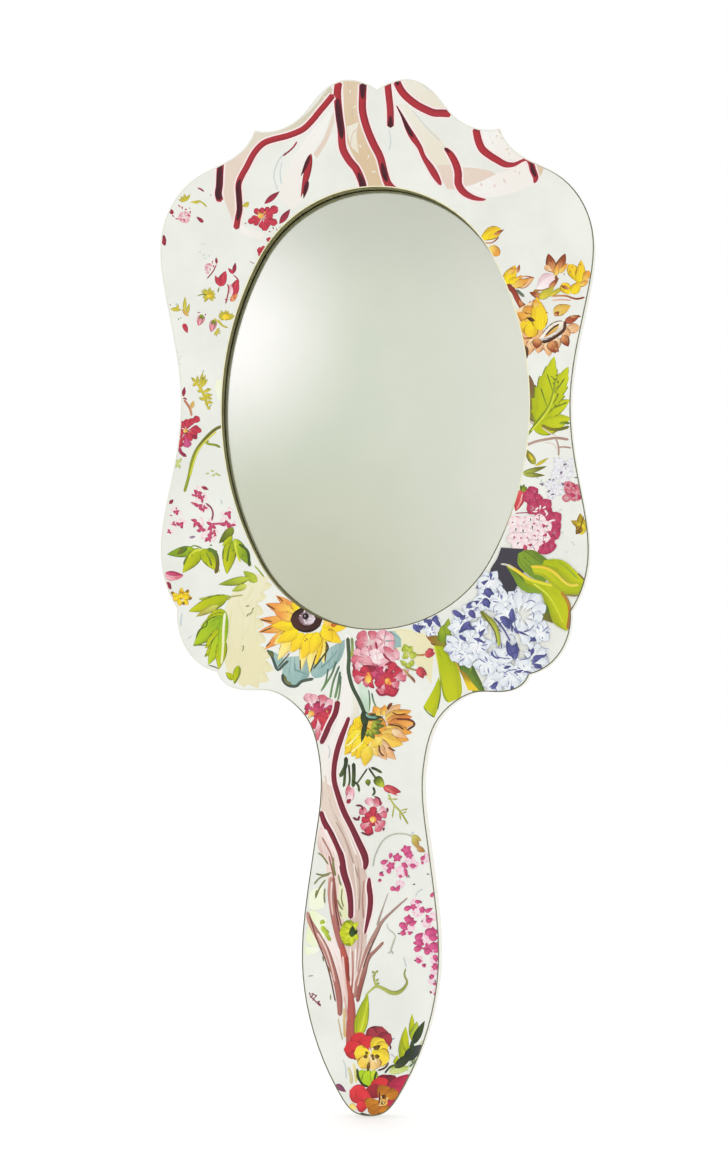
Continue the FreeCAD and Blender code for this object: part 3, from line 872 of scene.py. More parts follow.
def left_flowers():
    """The crimson flower, the bent stem and the loose pink florets left of the mirror."""
    m = Motif("front_left_crimson_flower")
    stroke(m, [(-53.5, 148.9), (-54, 151.1), (-55.1, 152.9), (-56, 154)], ("C98A6A", "B9785A", "6F4A3A"), 0.7)
    blade(m, -53.8, 151.1, -52.9, 153.6, 1.2, STRAW)
    stroke(m, [(-56.3, 154.2), (-55.6, 154.3), (-54.9, 153.8)], DEEP_ROSE, 0.5)
    blade(m, -56.1, 154.7, -55.7, 157.7, 1.1, DEEP_ROSE)
    blossom(m, -55, 144.9, 3.6, 9, ROSE, None, turn=15, squash=1.05, wide=0.8)
    blade(m, -53.9, 146.5, -51.3, 148.9, 2.2, ROSE, "spoon", notch=0.12)
    blades(m, None, "spoon", (-53.9, 145.4, -50.5, 144.7, 1.6, ROSE),
        (-54.1, 144, -51.8, 142.5, 1.3, DEEP_ROSE))
    blade(m, -55.4, 143.6, -54.5, 139.8, 2.6, ("C94A7A", "C2557F", "7C2A52"), "spoon", notch=0.1)
    blade(m, -56.3, 143.6, -57, 139.8, 1.8, ROSE, "spoon")
    stroke(m, [(-57.1, 140.1), (-56.6, 138.5), (-54.9, 137.2)], ("A83A5E", "8E2B4B", "6A2038"), 1)
    specks(m, [(-56.7, 144.7), (-56.3, 145.6), (-54.6, 145.8), (-54.2, 144.7), (-55, 143.6), (-55.9, 143.8)],
        ("2A1216", "2A1216", "2A1216"), 0.35)
    disc(m, -55.4, 144.7, 0.6, GOLD_HEART)
    specks(m, [(-55.2, 144.4), (-55.7, 145.2)], LEMON, 0.3)
    m.build()

    m = Motif("front_left_bent_stem")
    stroke(m, [(-44.2, 146.3), (-46.6, 145.2), (-49.2, 142.9), (-51.8, 139.6), (-53.3, 136.1), (-54.3, 131.2),
        (-55.5, 126.8)], ("6B6A22", "8E9A2A", "3A3C18"), 0.9)
    stroke(m, [(-46.1, 144.7), (-48.8, 142.3), (-51.4, 139.2), (-52.8, 135.6), (-53.9, 131.2)],
        ("D9D060", "C9CC40", "8E9A2A"), 0.55)
    stroke(m, [(-49.6, 141.4), (-48.3, 140.9), (-46.3, 140.6), (-44.9, 139.8)],
        ("9AA42A", "7C8A2A", "4A4F1C"), 0.7)
    stroke(m, [(-49.2, 141.6), (-48.3, 141.8)], MOSS, 0.5)
    burst(m, -57.3, 135.2, 2, 60, 290, 5, 0.7, ("D3DC8A", "AFC05A", "7A8A3A"))
    for x, z in ((-49.5, 132.3), (-48.1, 133.2), (-47.7, 131.6), (-46.8, 132.4), (-46.1, 131.9)):
        petal(m, x, z, draw.uniform(-20, 30), 1.3, 0.5, ("CBD48A", "A9B85A", "7A8A3A"))
    m.build()

    m = Motif("front_loose_florets")
    spots = ((-51.4, 126.5, 1.9), (-52.4, 125.8, 1), (-50.2, 125.1, 1.2), (-51.1, 122.7, 1.7),
        (-49.7, 122.3, 1.2), (-57.9, 120.9, 1.5), (-56.5, 117.2, 1.7), (-58.5, 117.6, 1.1), (-59.6, 115.4, 1),
        (-51.7, 118.3, 1.7), (-50.3, 115.8, 1.8), (-47.4, 117.2, 1.7), (-46.7, 115.2, 1.2),
        (-48.3, 113.8, 1.9), (-42.6, 120.7, 1.7), (-43, 117.6, 1.9), (-41.7, 117.4, 1.3))
    for x, z, r in spots:
        for _ in range(3):
            t = draw.uniform(0, TURN)
            blade(m, x, z, x + 1.25 * r * math.cos(t), z + 1.25 * r * math.sin(t), r * 0.9, SHELL, "spoon",
                look=(0.06, 0.3, 0.2, 0))
    for x, z, r in spots:
        t = draw.uniform(0, TURN)
        for _ in range(3):
            t += draw.uniform(1.2, 2.6)
            reach = r * draw.uniform(0.6, 1.25)
            blade(m, x, z, x + reach * math.cos(t), z + reach * math.sin(t), r * 0.62, PINK_RED, "leaf",
                bend=draw.uniform(-0.3, 0.3))
    stroke(m, [(-49.3, 123.8), (-47.7, 122.5), (-47, 120.7), (-47.4, 118.5)], ("9A4A5E", "8A3A4E", "5A2A38"),
        0.5)
    blade(m, -50.5, 128.5, -48.3, 127.6, 1, DEEP_ROSE)
    stroke(m, [(-45.1, 124.9), (-44.4, 124), (-44.8, 123.2)], GREY, 0.5)
    blade(m, -59.9, 123.4, -58.7, 124.8, 1.1, DEEP_ROSE)
    strokes(m, ("C24A70", "C24A70", "8C2F52"), ([(-47.7, 117.6), (-43.9, 117.8)], 0.6),
        ([(-47.4, 117.2), (-47.8, 113.6), (-47.8, 112.1)], 0.6))
    blade(m, -54, 113.6, -52, 114, 0.8, ("A08A9E", "8E7A90", "6A5A70"))
    specks(m, [(-57.7, 121.6), (-58.8, 120.1), (-46.9, 113.8), (-45.8, 114), (-53.3, 123.4), (-52.6, 123.8)],
        ROSE, 0.4)
    m.build()


def right_blooms():
    """Yellow and orange blooms right of the mirror."""
    m = Motif("front_yellow_buds")
    blade(m, 30.1, 200, 36.1, 203.7, 3.9, YOLK, "round", bend=-0.05)
    blade(m, 34.1, 201.5, 37.3, 203.1, 1, RUST)
    stroke(m, [(31.5, 199.3), (33.8, 199.3), (35.9, 201)], RUST, 0.4)
    blade(m, 33.1, 198.3, 36, 195.6, 3, AMBER, "disc")
    blade(m, 37.6, 187.2, 41.1, 192.5, 3.8, YOLK, "leaf", bend=0.08)
    blades(m, None, "point", (38.3, 190.2, 41.1, 192, 1.6, AMBER), (41.2, 190.4, 41.8, 193, 0.9, RUST))
    blade(m, 41.3, 186.3, 46.1, 189.2, 2.6, PEACH, "leaf", look=(0.3, 0.5, 0.4, 0))
    blade(m, 40.4, 186.9, 42.5, 189.9, 2, AMBER, "leaf")
    stroke(m, [(42, 189.2), (43.8, 189.5), (46.2, 189)], RUST, 0.35)
    blade(m, 51.5, 190.4, 50, 196.1, 3.1, RUST, "bud")
    blade(m, 51.2, 190.9, 49, 192.5, 1.8, PEACH, "round")
    blades(m, None, "bud", (52.6, 190.4, 55, 196.1, 2.8, RUST), (52.2, 189.5, 52.7, 193, 1.6, AMBER),
        (53.2, 190.4, 55.7, 193.2, 1.5, AMBER))
    stroke(m, [(52.4, 189.9), (52.1, 187.6), (49.9, 186.3), (45.7, 185.1)], ("8C5A30", "A87A34", "4A2E1A"),
        0.9)
    blade(m, 59.6, 187.2, 55.9, 193, 3.4, YOLK, "round")
    blade(m, 58.9, 186.9, 60.3, 194.1, 3.2, YOLK, "leaf", bend=0.1)
    blade(m, 60, 187.4, 61.9, 191.1, 2.2, AMBER, "round")
    blade(m, 59, 186.5, 61, 187.2, 1, RUST)
    specks(m, [(59.4, 192.5), (56.7, 192), (60.7, 189.9), (54.9, 189.7), (56.3, 190.2)], RUST, 0.3)
    m.build()

    m = Motif("front_yellow_bloom_back")
    stroke(m, [(38.1, 187.2), (40.1, 185.2), (41.3, 182.8), (42.8, 180.1)], ("8A3A2C", "A2482E", "4A2420"),
        1.6)
    stroke(m, [(40.8, 185.7), (42.6, 184.1), (43.3, 183.5)], ("5E6A56", "6E7660", "3A4238"), 0.9)
    blades(m, None, "leaf", (39.7, 186.6, 44.5, 188.6, 2.6, AMBER), (38.6, 187.5, 41.7, 189.2, 2, YOLK))
    blade(m, 41.7, 182.6, 43.5, 179.7, 1.8, RUST, "round")
    blade(m, 46.6, 185.7, 51.8, 189.7, 4.6, SHELL, "round", look=(0.1, 0.5, 0.5, 0))
    blades(m, RUST, "leaf", (50.3, 185.9, 53.2, 189, 1.5), (48.8, 183.2, 44.6, 184.9, 1.9))
    blade(m, 47.5, 183, 52.1, 186.3, 2.6, SPRIG, "leaf", bend=0.05)
    blade(m, 50.1, 183.5, 55, 186.6, 1.4, SPRIG)
    blade(m, 56.3, 184.1, 54.1, 187.5, 3.2, YOLK, "round")
    blade(m, 56.8, 184.4, 59.4, 187.9, 3, YOLK, "leaf")
    blade(m, 56.3, 185.7, 53.6, 186.8, 1, RUST)
    blade(m, 59.2, 186.8, 61.8, 188.1, 1.6, AMBER, "leaf")
    stroke(m, [(51, 183.7), (55, 183.8), (58.1, 182.9), (60.8, 183.4)], RUST, 0.55)
    stroke(m, [(51, 182.4), (54.1, 182.7), (56.8, 182.4)], ("E9B9A0", "D9A48C", "B0684A"), 0.4)
    patch(m, [(40.4, 179.5), (42.2, 173.7), (42.9, 169.3)], [(47, 183), (48.9, 175.1), (47.1, 169.3)], PEACH)
    blades(m, PEACH, "leaf", (45.8, 171.5, 44.3, 166.4, 3), (48, 171.1, 47.2, 167.1, 3.4),
        (50.2, 171.1, 50.5, 166.2, 3.2), (52.4, 172, 52.7, 167.7, 2.8), (46.7, 170.6, 45.6, 168.4, 2.6))
    blades(m, PEACH, "round", (54.2, 173.7, 59.3, 174.8, 3), (53.3, 175.1, 56.4, 172, 2.8))
    m.build()

    m = Motif("front_yellow_bloom")
    blade(m, 51.5, 178.8, 56.7, 181, 3.4, ("E9C766", "DDB24A", "9A6A2E"), "leaf")
    blade(m, 51.9, 177.9, 53.3, 179.3, 1.4, RUST)
    blade(m, 54.8, 176.2, 59.5, 177.7, 2.2, ("B0583C", "93402C", "5A2A1C"), "leaf", bend=0.1)
    blade(m, 56.4, 177.7, 59.7, 177.8, 1, RUST)
    blade(m, 42.6, 177.3, 45.5, 180.8, 3.4, AMBER, "round")
    blade(m, 46, 175.9, 41.1, 179, 3.6, AMBER, "leaf")
    blades(m, YOLK, "round", (47.5, 175.1, 41.8, 175.1, 4.6), (45.7, 176.8, 44.9, 171.7, 4.4))
    blade(m, 48, 173.7, 46.8, 183.5, 5, YOLK, "leaf", look=(0.1, 0.3, 0.2, 0))
    blade(m, 46.6, 180.4, 46.4, 183, 2.2, AMBER, "leaf")
    blades(m, None, "point", (46.4, 176.5, 43.8, 177.6, 1.1, ("5E3A22", "4A2A1C", "2E1A14")),
        (44.4, 176.5, 42.9, 176.9, 0.7, AMBER))
    stroke(m, [(42.2, 172.8), (43.1, 171.6), (45.8, 171.7)], RUST, 0.5)
    blades(m, RUST, "bud", (47.2, 171.5, 46.8, 168.5, 3), (50.9, 170.8, 52.4, 167.2, 3.4))
    blade(m, 52.2, 168.9, 53.3, 167.5, 1, RUST)
    blade(m, 54.4, 172.4, 56, 169.1, 2.7, RUST, "bud")
    blade(m, 43.4, 169.5, 44.3, 165.3, 1.8, ("6E4A2E", "4E3322", "3A241A"), "leaf", bend=-0.1)
    blade(m, 55.1, 176.2, 47.8, 170.8, 4, ("EFE6D2", "F5EEDF", "4A2E24"), "leaf", bend=-0.06,
        look=(0.24, 0.4, 0.2, 0))
    blade(m, 53.3, 175.5, 48.9, 171.7, 1.5, AMBER, "leaf")
    stroke(m, [(53.5, 175.7), (51.5, 174.4), (49.3, 172.3)], ("4A3A34", "5A463E", "2E221E"), 0.5)
    stroke(m, [(55, 176.6), (54.8, 174.2), (52.9, 172.4), (50.2, 170.8), (48.2, 170.5)],
        ("5A3628", "4A2A20", "2E1A14"), 0.9)
    specks(m, [(44.4, 181.7), (45.5, 182.1), (45, 180.4), (50.2, 178.8), (42.2, 173.7)], RUST, 0.35)
    m.build()


def right_leaf():
    """The serrated lime leaf right of the mirror, and the twigs and little leaves under it."""
    m = Motif("front_lime_leaf")
    lime, soft = (("B2BE10", "C2CA1A", "5E6A1F"), (0.1, 0.25, 0.2, 0))
    brown = ("8C8A3A", "7A5A3C", "4A3624")
    blade(m, 47.3, 148.3, 44.2, 160.8, 4, brown, "leaf", teeth=4, bend=-0.05)
    blade(m, 46.5, 147.1, 44.1, 155.2, 3.2, brown, "leaf", teeth=3, bend=-0.06)
    stroke(m, [(46.3, 146.3), (44.9, 148), (44.4, 151.6)], TWIG, 0.35)
    blade(m, 49.1, 152, 48.3, 160, 3.6, DEEP_LEAF, "leaf", teeth=3)
    blade(m, 47.8, 148.3, 47.9, 157.8, 3.6, lime, "leaf", look=soft)
    blade(m, 45.8, 145.6, 56.9, 148.3, 6.4, lime, "leaf", bend=0.02, look=soft)
    blade(m, 49.1, 149.4, 56.6, 153.8, 4.4, lime, "leaf", look=soft)
    blade(m, 50.4, 151.1, 55.7, 163.5, 5.4, lime, "leaf", teeth=5, bend=-0.03, look=soft)
    blade(m, 47.2, 147.1, 52.7, 166, 7.2, lime, "leaf", teeth=6, bend=0.04, look=soft)
    stroke(m, [(48.3, 146.5), (50.9, 145.3), (53.6, 145.2), (56.5, 146)], ("8A7A2A", "6A6A26", "4A4A1C"), 0.9)
    stroke(m, [(53.4, 146.9), (55.3, 147.1), (56.7, 146.9)], MOSS, 0.8)
    stroke(m,
        [(43.9, 142.8, 0.5), (46.9, 146.9, 0.9), (50.4, 151.6, 0.8), (51.8, 156, 0.7), (52.4, 160, 0.4)],
        ("7C8E1C", "8FA022", "4A5A1C"), 0.8)
    stroke(m, [(45.4, 144.7), (48.5, 148.3), (51, 152.2), (52.3, 156.4)], ("DCE04A", "CFD83A", "8FA022"),
        0.45)
    for ax, az, bx, bz in ((50.6, 150.7, 55.9, 153.1), (51.9, 155.3, 55, 160), (51.7, 156, 49.9, 161.3),
            (50, 151.6, 48.1, 157.3)):
        stroke(m, [(ax, az), (bx, bz)], MOSS, 0.35)
    specks(m, [(52.2, 159.3), (52.5, 158.8), (51.9, 160), (52.9, 159.5), (52.3, 160.7), (52.1, 157.8)], MOSS,
        0.4)
    m.build()

    m = Motif("front_right_twigs")
    strokes(m, TWIG, ([(44.1, 140.6), (46.6, 141.6), (49.2, 142.2), (52.8, 142.7), (56.4, 142.2)], 0.75),
        ([(53, 140), (55, 140.1), (57.2, 139.8)], 0.5), ([(52.5, 142.7), (53.3, 140.3), (53.4, 137.4)], 0.5))
    strokes(m, BLUSH, ([(49.2, 141.4), (51.9, 140.9), (52.9, 139.2)], 0.3),
        ([(48.5, 145.8), (51, 144), (52.8, 143.4)], 0.35))
    blade(m, 46.7, 135, 43.6, 139.7, 2.2, ("A9A83A", "7E7A2C", "4A4A20"), "leaf")
    stroke(m, [(46, 136.1), (44.8, 138.3)], LEMON, 0.5)
    blade(m, 46.5, 134.5, 50.6, 137, 1, SPRIG)
    blades(m, ("A9B24A", "6E702A", "3A3A1C"), "leaf", (43, 132.6, 50.2, 134.2, 1.5),
        (43.2, 132.2, 49.6, 131.6, 1.4), bend=0.05)
    specks(m, [(43.2, 134.5), (47.9, 130.8), (48.3, 129.6), (49, 129.2), (52.5, 136.6)], GREY, 0.45)
    m.build()

    m = Motif("front_pale_florets")
    pale = ("F3F3F4", "E2E1E6", "A29EAC")
    for x, z, r in ((53.6, 135.4, 2), (55.6, 132.7, 2.1), (52.7, 132.3, 1.8), (55.2, 129.9, 1.8),
            (51.2, 129.2, 1.7), (53.3, 127.7, 1.7), (51.5, 126.3, 1.3), (56.9, 135.6, 1.4)):
        blossom(m, x, z, r, 5, pale, None, turn=draw.uniform(0, 70), look=(0.08, 0.25, 0.2, 0))
    specks(m, [(54.7, 134.8), (54.9, 134.4), (53.8, 132.1), (54.3, 132.2), (51.4, 130.4), (51.7, 130.1),
        (57.8, 131.3), (54.4, 128.8), (54.8, 129), (51.1, 126.3), (50, 127), (47.8, 129.4), (48.4, 129)],
        ("8A7488", "7A6478", "5A4658"), 0.45)
    for x, z, r in ((57.4, 127.7, 2.2), (58.6, 126.3, 2), (56.3, 128.8, 1.5), (55.7, 125.4, 1.2)):
        blossom(m, x, z, r, 5, PINK, None, turn=draw.uniform(0, 70))
    for ax, az, bx, bz in ((55.7, 126.8, 58.4, 125.9), (57, 128.5, 55.7, 129.4), (58.3, 127.7, 57.9, 129.4),
            (58.8, 127, 59.7, 125)):
        blade(m, ax, az, bx, bz, 1.1, PINK_RED, "spoon")
    m.build()

    m = Motif("front_gold_leaf")
    gold = ("E4CF2A", "A98C22", "6A4A1C")
    blade(m, 60.1, 114.7, 60, 121.1, 3.2, gold, "leaf", bend=0.05)
    blades(m, None, "leaf", (61.2, 116.7, 57, 118.9, 2.2, gold),
        (60.1, 117.2, 58.5, 114.9, 2, ("A9862A", "7A5A24", "4A3218")))
    stroke(m, [(60.7, 120.3), (59.9, 117.2), (59.1, 115.2)], ("7A6A22", "6A4A1C", "4A3218"), 0.4)
    specks(m, [(57.9, 112.5), (58.2, 111.6), (54.9, 115), (55.4, 109.6), (54.5, 121.6), (53.9, 121.4)], GREY,
        0.4)
    m.build()


def pink_cluster():
    """The red bud and the round cluster of pink florets beside the mirror's lower right."""
    m = Motif("front_red_bud")
    blade(m, 43.3, 127.8, 40.8, 121.6, 3.1, ("D8545A", "C43F48", "8A2A34"), "bud", bend=0.04)
    stroke(m, [(43.1, 126.7), (42.5, 124.3), (41.4, 122)], ("F0B0A8", "E88A88", "B04048"), 0.5)
    for ax, az, bx, bz in ((43.3, 127.1, 42.4, 129.1), (43.5, 127.1, 44.2, 128.7),
            (43.1, 127.4, 43.5, 129.4)):
        blade(m, ax, az, bx, bz, 1.2, MOSS)
    stroke(m, [(43.8, 126.3), (45.4, 125.6), (45.8, 124.3), (44.1, 122)], ("E9B9C6", "D98AA2", "B0587A"), 0.5)
    stroke(m, [(40.6, 120.1), (42.8, 119.6), (45.9, 119.9)], ("E07A9A", "D9668A", "A33A58"), 0.6)
    stroke(m, [(40.8, 120.9), (43.2, 121.1), (45.9, 121.1)], ("B0687E", "A05A70", "7A3A50"), 0.35)
    m.build()

    m = Motif("front_pink_cluster")
    outer = ((45.8, 126.7), (46.8, 124.8), (45.1, 125.8), (48.1, 123.2), (46.1, 122.5), (49.9, 121.8),
        (48.5, 120.9), (51.2, 119.8), (52.2, 117.6), (50.9, 117.2), (52, 115.2), (50.7, 113.4), (51, 111.4),
        (49.3, 110.9), (47.6, 111), (49.8, 123.4), (52.6, 119.4), (43.4, 111.6))
    for x, z in outer:
        blossom(m, x, z, 1.9, 4, PINK_RED, None, turn=draw.uniform(0, 90), wide=1, look=(0.1, 0.4, 0.4, 0))
    for x, z in ((40.6, 118.3), (43.1, 118.1), (45.5, 118.7), (47.9, 118.9), (49.7, 117.2), (41.1, 115.8),
            (43.3, 115.4), (46, 116.3), (48, 115.6), (40.5, 113.6), (42.7, 113.2), (44.9, 113.4),
            (47.4, 113.2), (49.3, 114.1), (41.6, 111.9), (46.1, 111.4)):
        blossom(m, x, z, 1.75, 4, SHELL, None, turn=draw.uniform(0, 90), wide=1.05, look=(0.1, 0.25, 0.2, 0))
        specks(m, [(x, z)], draw.choice((("5A5258", "4A4248", "3A3238"), PINK_RED)), 0.4)
    for x, z in ((46.6, 117.6), (48.6, 118.1), (50, 115.6), (46.9, 114.7), (48.7, 113), (44.5, 111.9),
            (47.7, 120.5), (46.5, 123.8)):
        blade(m, x, z, x + draw.uniform(-1.4, 1.4), z + draw.uniform(-1.4, 1.4), 0.9, PINK_RED, "spoon")
    for x, z in ((45.9, 121.4), (48.1, 121.8), (49.7, 120.1), (47.8, 111.9), (50.4, 118.5)):
        specks(m, [(x, z), (x + 0.7, z + 0.4)], SHELL, 0.6)
    m.build()


def lower_right_leaves():
    """The charcoal ground and the large leaves at the lower right."""
    m = Motif("front_charcoal_ground")
    patch(m, [(37, 111), (35.9, 107.9), (33.9, 104.3), (34.8, 100.8), (37.4, 97.7), (39.8, 96.4)],
        [(43.6, 110.7), (43.2, 109.2), (43.7, 105.7), (43.1, 102.1), (41.4, 99.5), (40.2, 96.4)], CHARCOAL)
    m.build()

    m = Motif("front_large_leaves")
    patch(m, [(41.9, 109.3), (41.9, 106.3), (44, 103.9), (46.7, 102.1), (49.8, 101.2)],
        [(43.9, 110.4), (46.5, 110.3), (48.8, 108.8), (50.6, 107.4), (51.9, 105.7)],
        ("7C9A2A", "6E8E2A", "3E5220"), (0, 0.7, 0.4, 0))
    patch(m, [(49.4, 107.4), (52.3, 107.8), (55.4, 107.1), (58.6, 104.3), (61.7, 101)],
        [(48.8, 105.7), (52.4, 104.3), (55.1, 102.1), (57.3, 100.3), (60.9, 100.3)], LIME, (0, 0.6, 0.3, 0))
    patch(m, [(45.7, 105.6), (49.7, 105.1), (52.8, 103.4), (56, 100.6), (61.3, 100.7)],
        [(46.6, 103.4), (49.3, 102.6), (52, 99.9), (55.2, 97.8), (60, 97.6)], ("BEC41C", "AAB614", "6E7E1C"),
        (0, 0.6, 0.3, 0))
    stroke(m, [(45.5, 105.6), (49.3, 105.4), (52.4, 103.9), (55.1, 101.4), (56.9, 100.3), (59.5, 100.4)],
        ("ECC93A", "E4D04A", "8A7A22"), 0.8)
    stroke(m, [(53.2, 107.4), (56.4, 104.8), (59.1, 102.1)], ("9AB01E", "93AE2E", "5C7D2A"), 0.5)
    stroke(m, [(55.6, 97.5), (59.1, 97.3), (60.9, 99), (61.6, 100.9), (59, 103.9)],
        ("8A7A2A", "7A5A2A", "4A3A1C"), 0.4)
    patch(m, [(38.3, 106), (40.5, 102.6), (42, 99.9), (44.5, 98.2), (48.3, 97.8)],
        [(38.6, 106.3), (41.7, 104.4), (44.4, 102.1), (47.1, 101.1), (49.8, 99.9)],
        ("6E8A26", "7F9E2A", "33481C"), (0, 0.8, 0.6, 0))
    patch(m,
        [(43.1, 102.8), (46.7, 101.4), (51.1, 100.3), (54.3, 98.3), (56.4, 95), (56.9, 91.5), (56.3, 87.3)],
        [(44.7, 99.9), (48, 98.8), (49.4, 95.9), (50.1, 92.8), (51.3, 90.6), (53.1, 88.6), (56, 87.1)], LIME,
        (0, 0.7, 0.4, 0))
    patch(m, [(50.1, 95), (49, 92.8), (48, 90.8)], [(50.8, 93.7), (51.3, 91.5), (52.2, 89.3)],
        ("55702A", "6E6A2A", "33421E"), (0, 0.7, 0.2, 0))
    stroke(m, [(38.6, 106.2), (41.7, 104.3), (44.9, 102.1), (48.5, 101), (52, 100.1)],
        ("EFD23A", "DCD63A", "8A7A22"), 0.9)
    stroke(m, [(54.3, 98.5), (56.4, 95.2), (56.9, 91.9), (56.3, 87.5)], ("B88A2A", "A8682A", "6A4420"), 1)
    stroke(m, [(36.8, 106.3), (38.6, 106.1), (40.9, 105)], ("D9D6C8", "CFCDB8", "8A8A70"), 0.5)
    stroke(m, [(46.2, 100.8), (50.3, 97.7), (53, 93.7), (54.9, 89.3)], ("D5DE4A", "C8D22A", "8FA022"), 0.5)
    m.build()

    m = Motif("front_lower_leaves")
    patch(m, [(0.9, 85.7), (4.8, 86.8), (9.3, 87.5), (15.5, 85.7), (17.8, 82.6)],
        [(6.7, 81.7), (10.3, 79.5), (13.5, 76), (15.7, 73.3), (17.1, 71.5)], WASH)
    patch(m, [(3.1, 86.8), (3.6, 83.9), (4.9, 81.7)], [(6.2, 86.8), (8, 84.8), (8.3, 82.2)], TEAL)
    stroke(m, [(4.8, 86.8), (6.4, 85.5), (8.4, 84.2)], ("6A8A86", "8FB0AB", "4E6A68"), 0.5)
    blade(m, 20.2, 82.2, 22, 90.6, 3.6, LEAF_GREEN, "leaf", teeth=4)
    blades(m, None, "leaf", (21.3, 82.4, 15.4, 85.6, 3.2, ("8E8A2A", "8A6A2A", "4A3A1C")),
        (20, 83.5, 19.9, 88.4, 2.4, LEAF_GREEN), teeth=3)
    stroke(m, [(17.8, 83.1), (15.5, 85.5)], ("B8702A", "A05A2A", "5A3218"), 0.4)
    patch(m, [(24.5, 78.4), (25.4, 75.1), (27.3, 72), (29.1, 69.3)],
        [(28.5, 78.4), (29.9, 75.5), (31.5, 72.4), (32.6, 69.8)], ("5E7D32", "6E8A2E", "33421E"),
        (0, 0.7, 0.5, 0))
    patch(m, [(25.2, 76), (26.6, 72.4), (27.7, 69.8)], [(27.2, 74.6), (29, 72), (30.8, 69.8)],
        ("9A7A22", "E4C52A", "5A4218"), (0, 0.6, 0, 0))
    blade(m, 28.5, 75.1, 27.9, 79.1, 1.4, LEAF_GREEN)
    patch(m, [(17.7, 82.8), (18.6, 79.1), (19.5, 74.2), (20.4, 69.3), (22, 66.2)],
        [(21.1, 82.2), (24.3, 77.7), (25.5, 73.8), (26, 69.8), (25.5, 67.6)], LIME, (0, 0.3, 0.2, 0))
    stroke(m, [(17.8, 82.7), (18.7, 79.1), (19.6, 74.2), (20.7, 68.4), (22, 66.3)],
        ("D9D84A", "8FA022", "55611F"), 0.5)
    stroke(m, [(20.9, 82.4), (24, 78.2), (25.4, 75.1)], ("E9DC5A", "C8A23A", "8A6A2A"), 0.5)
    patch(m, [(19.3, 73.8), (17.5, 69.8), (14.8, 65)], [(19.6, 71.5), (19.6, 66.7), (18.1, 61.9)], LIME,
        (0, 0.4, 0.2, 0))
    strokes(m, MOSS, ([(14.8, 65), (16.3, 63.1), (18.1, 61.9)], 0.4),
        ([(19.6, 72.9), (19.7, 68.4), (18.9, 64)], 0.35))
    m.build()


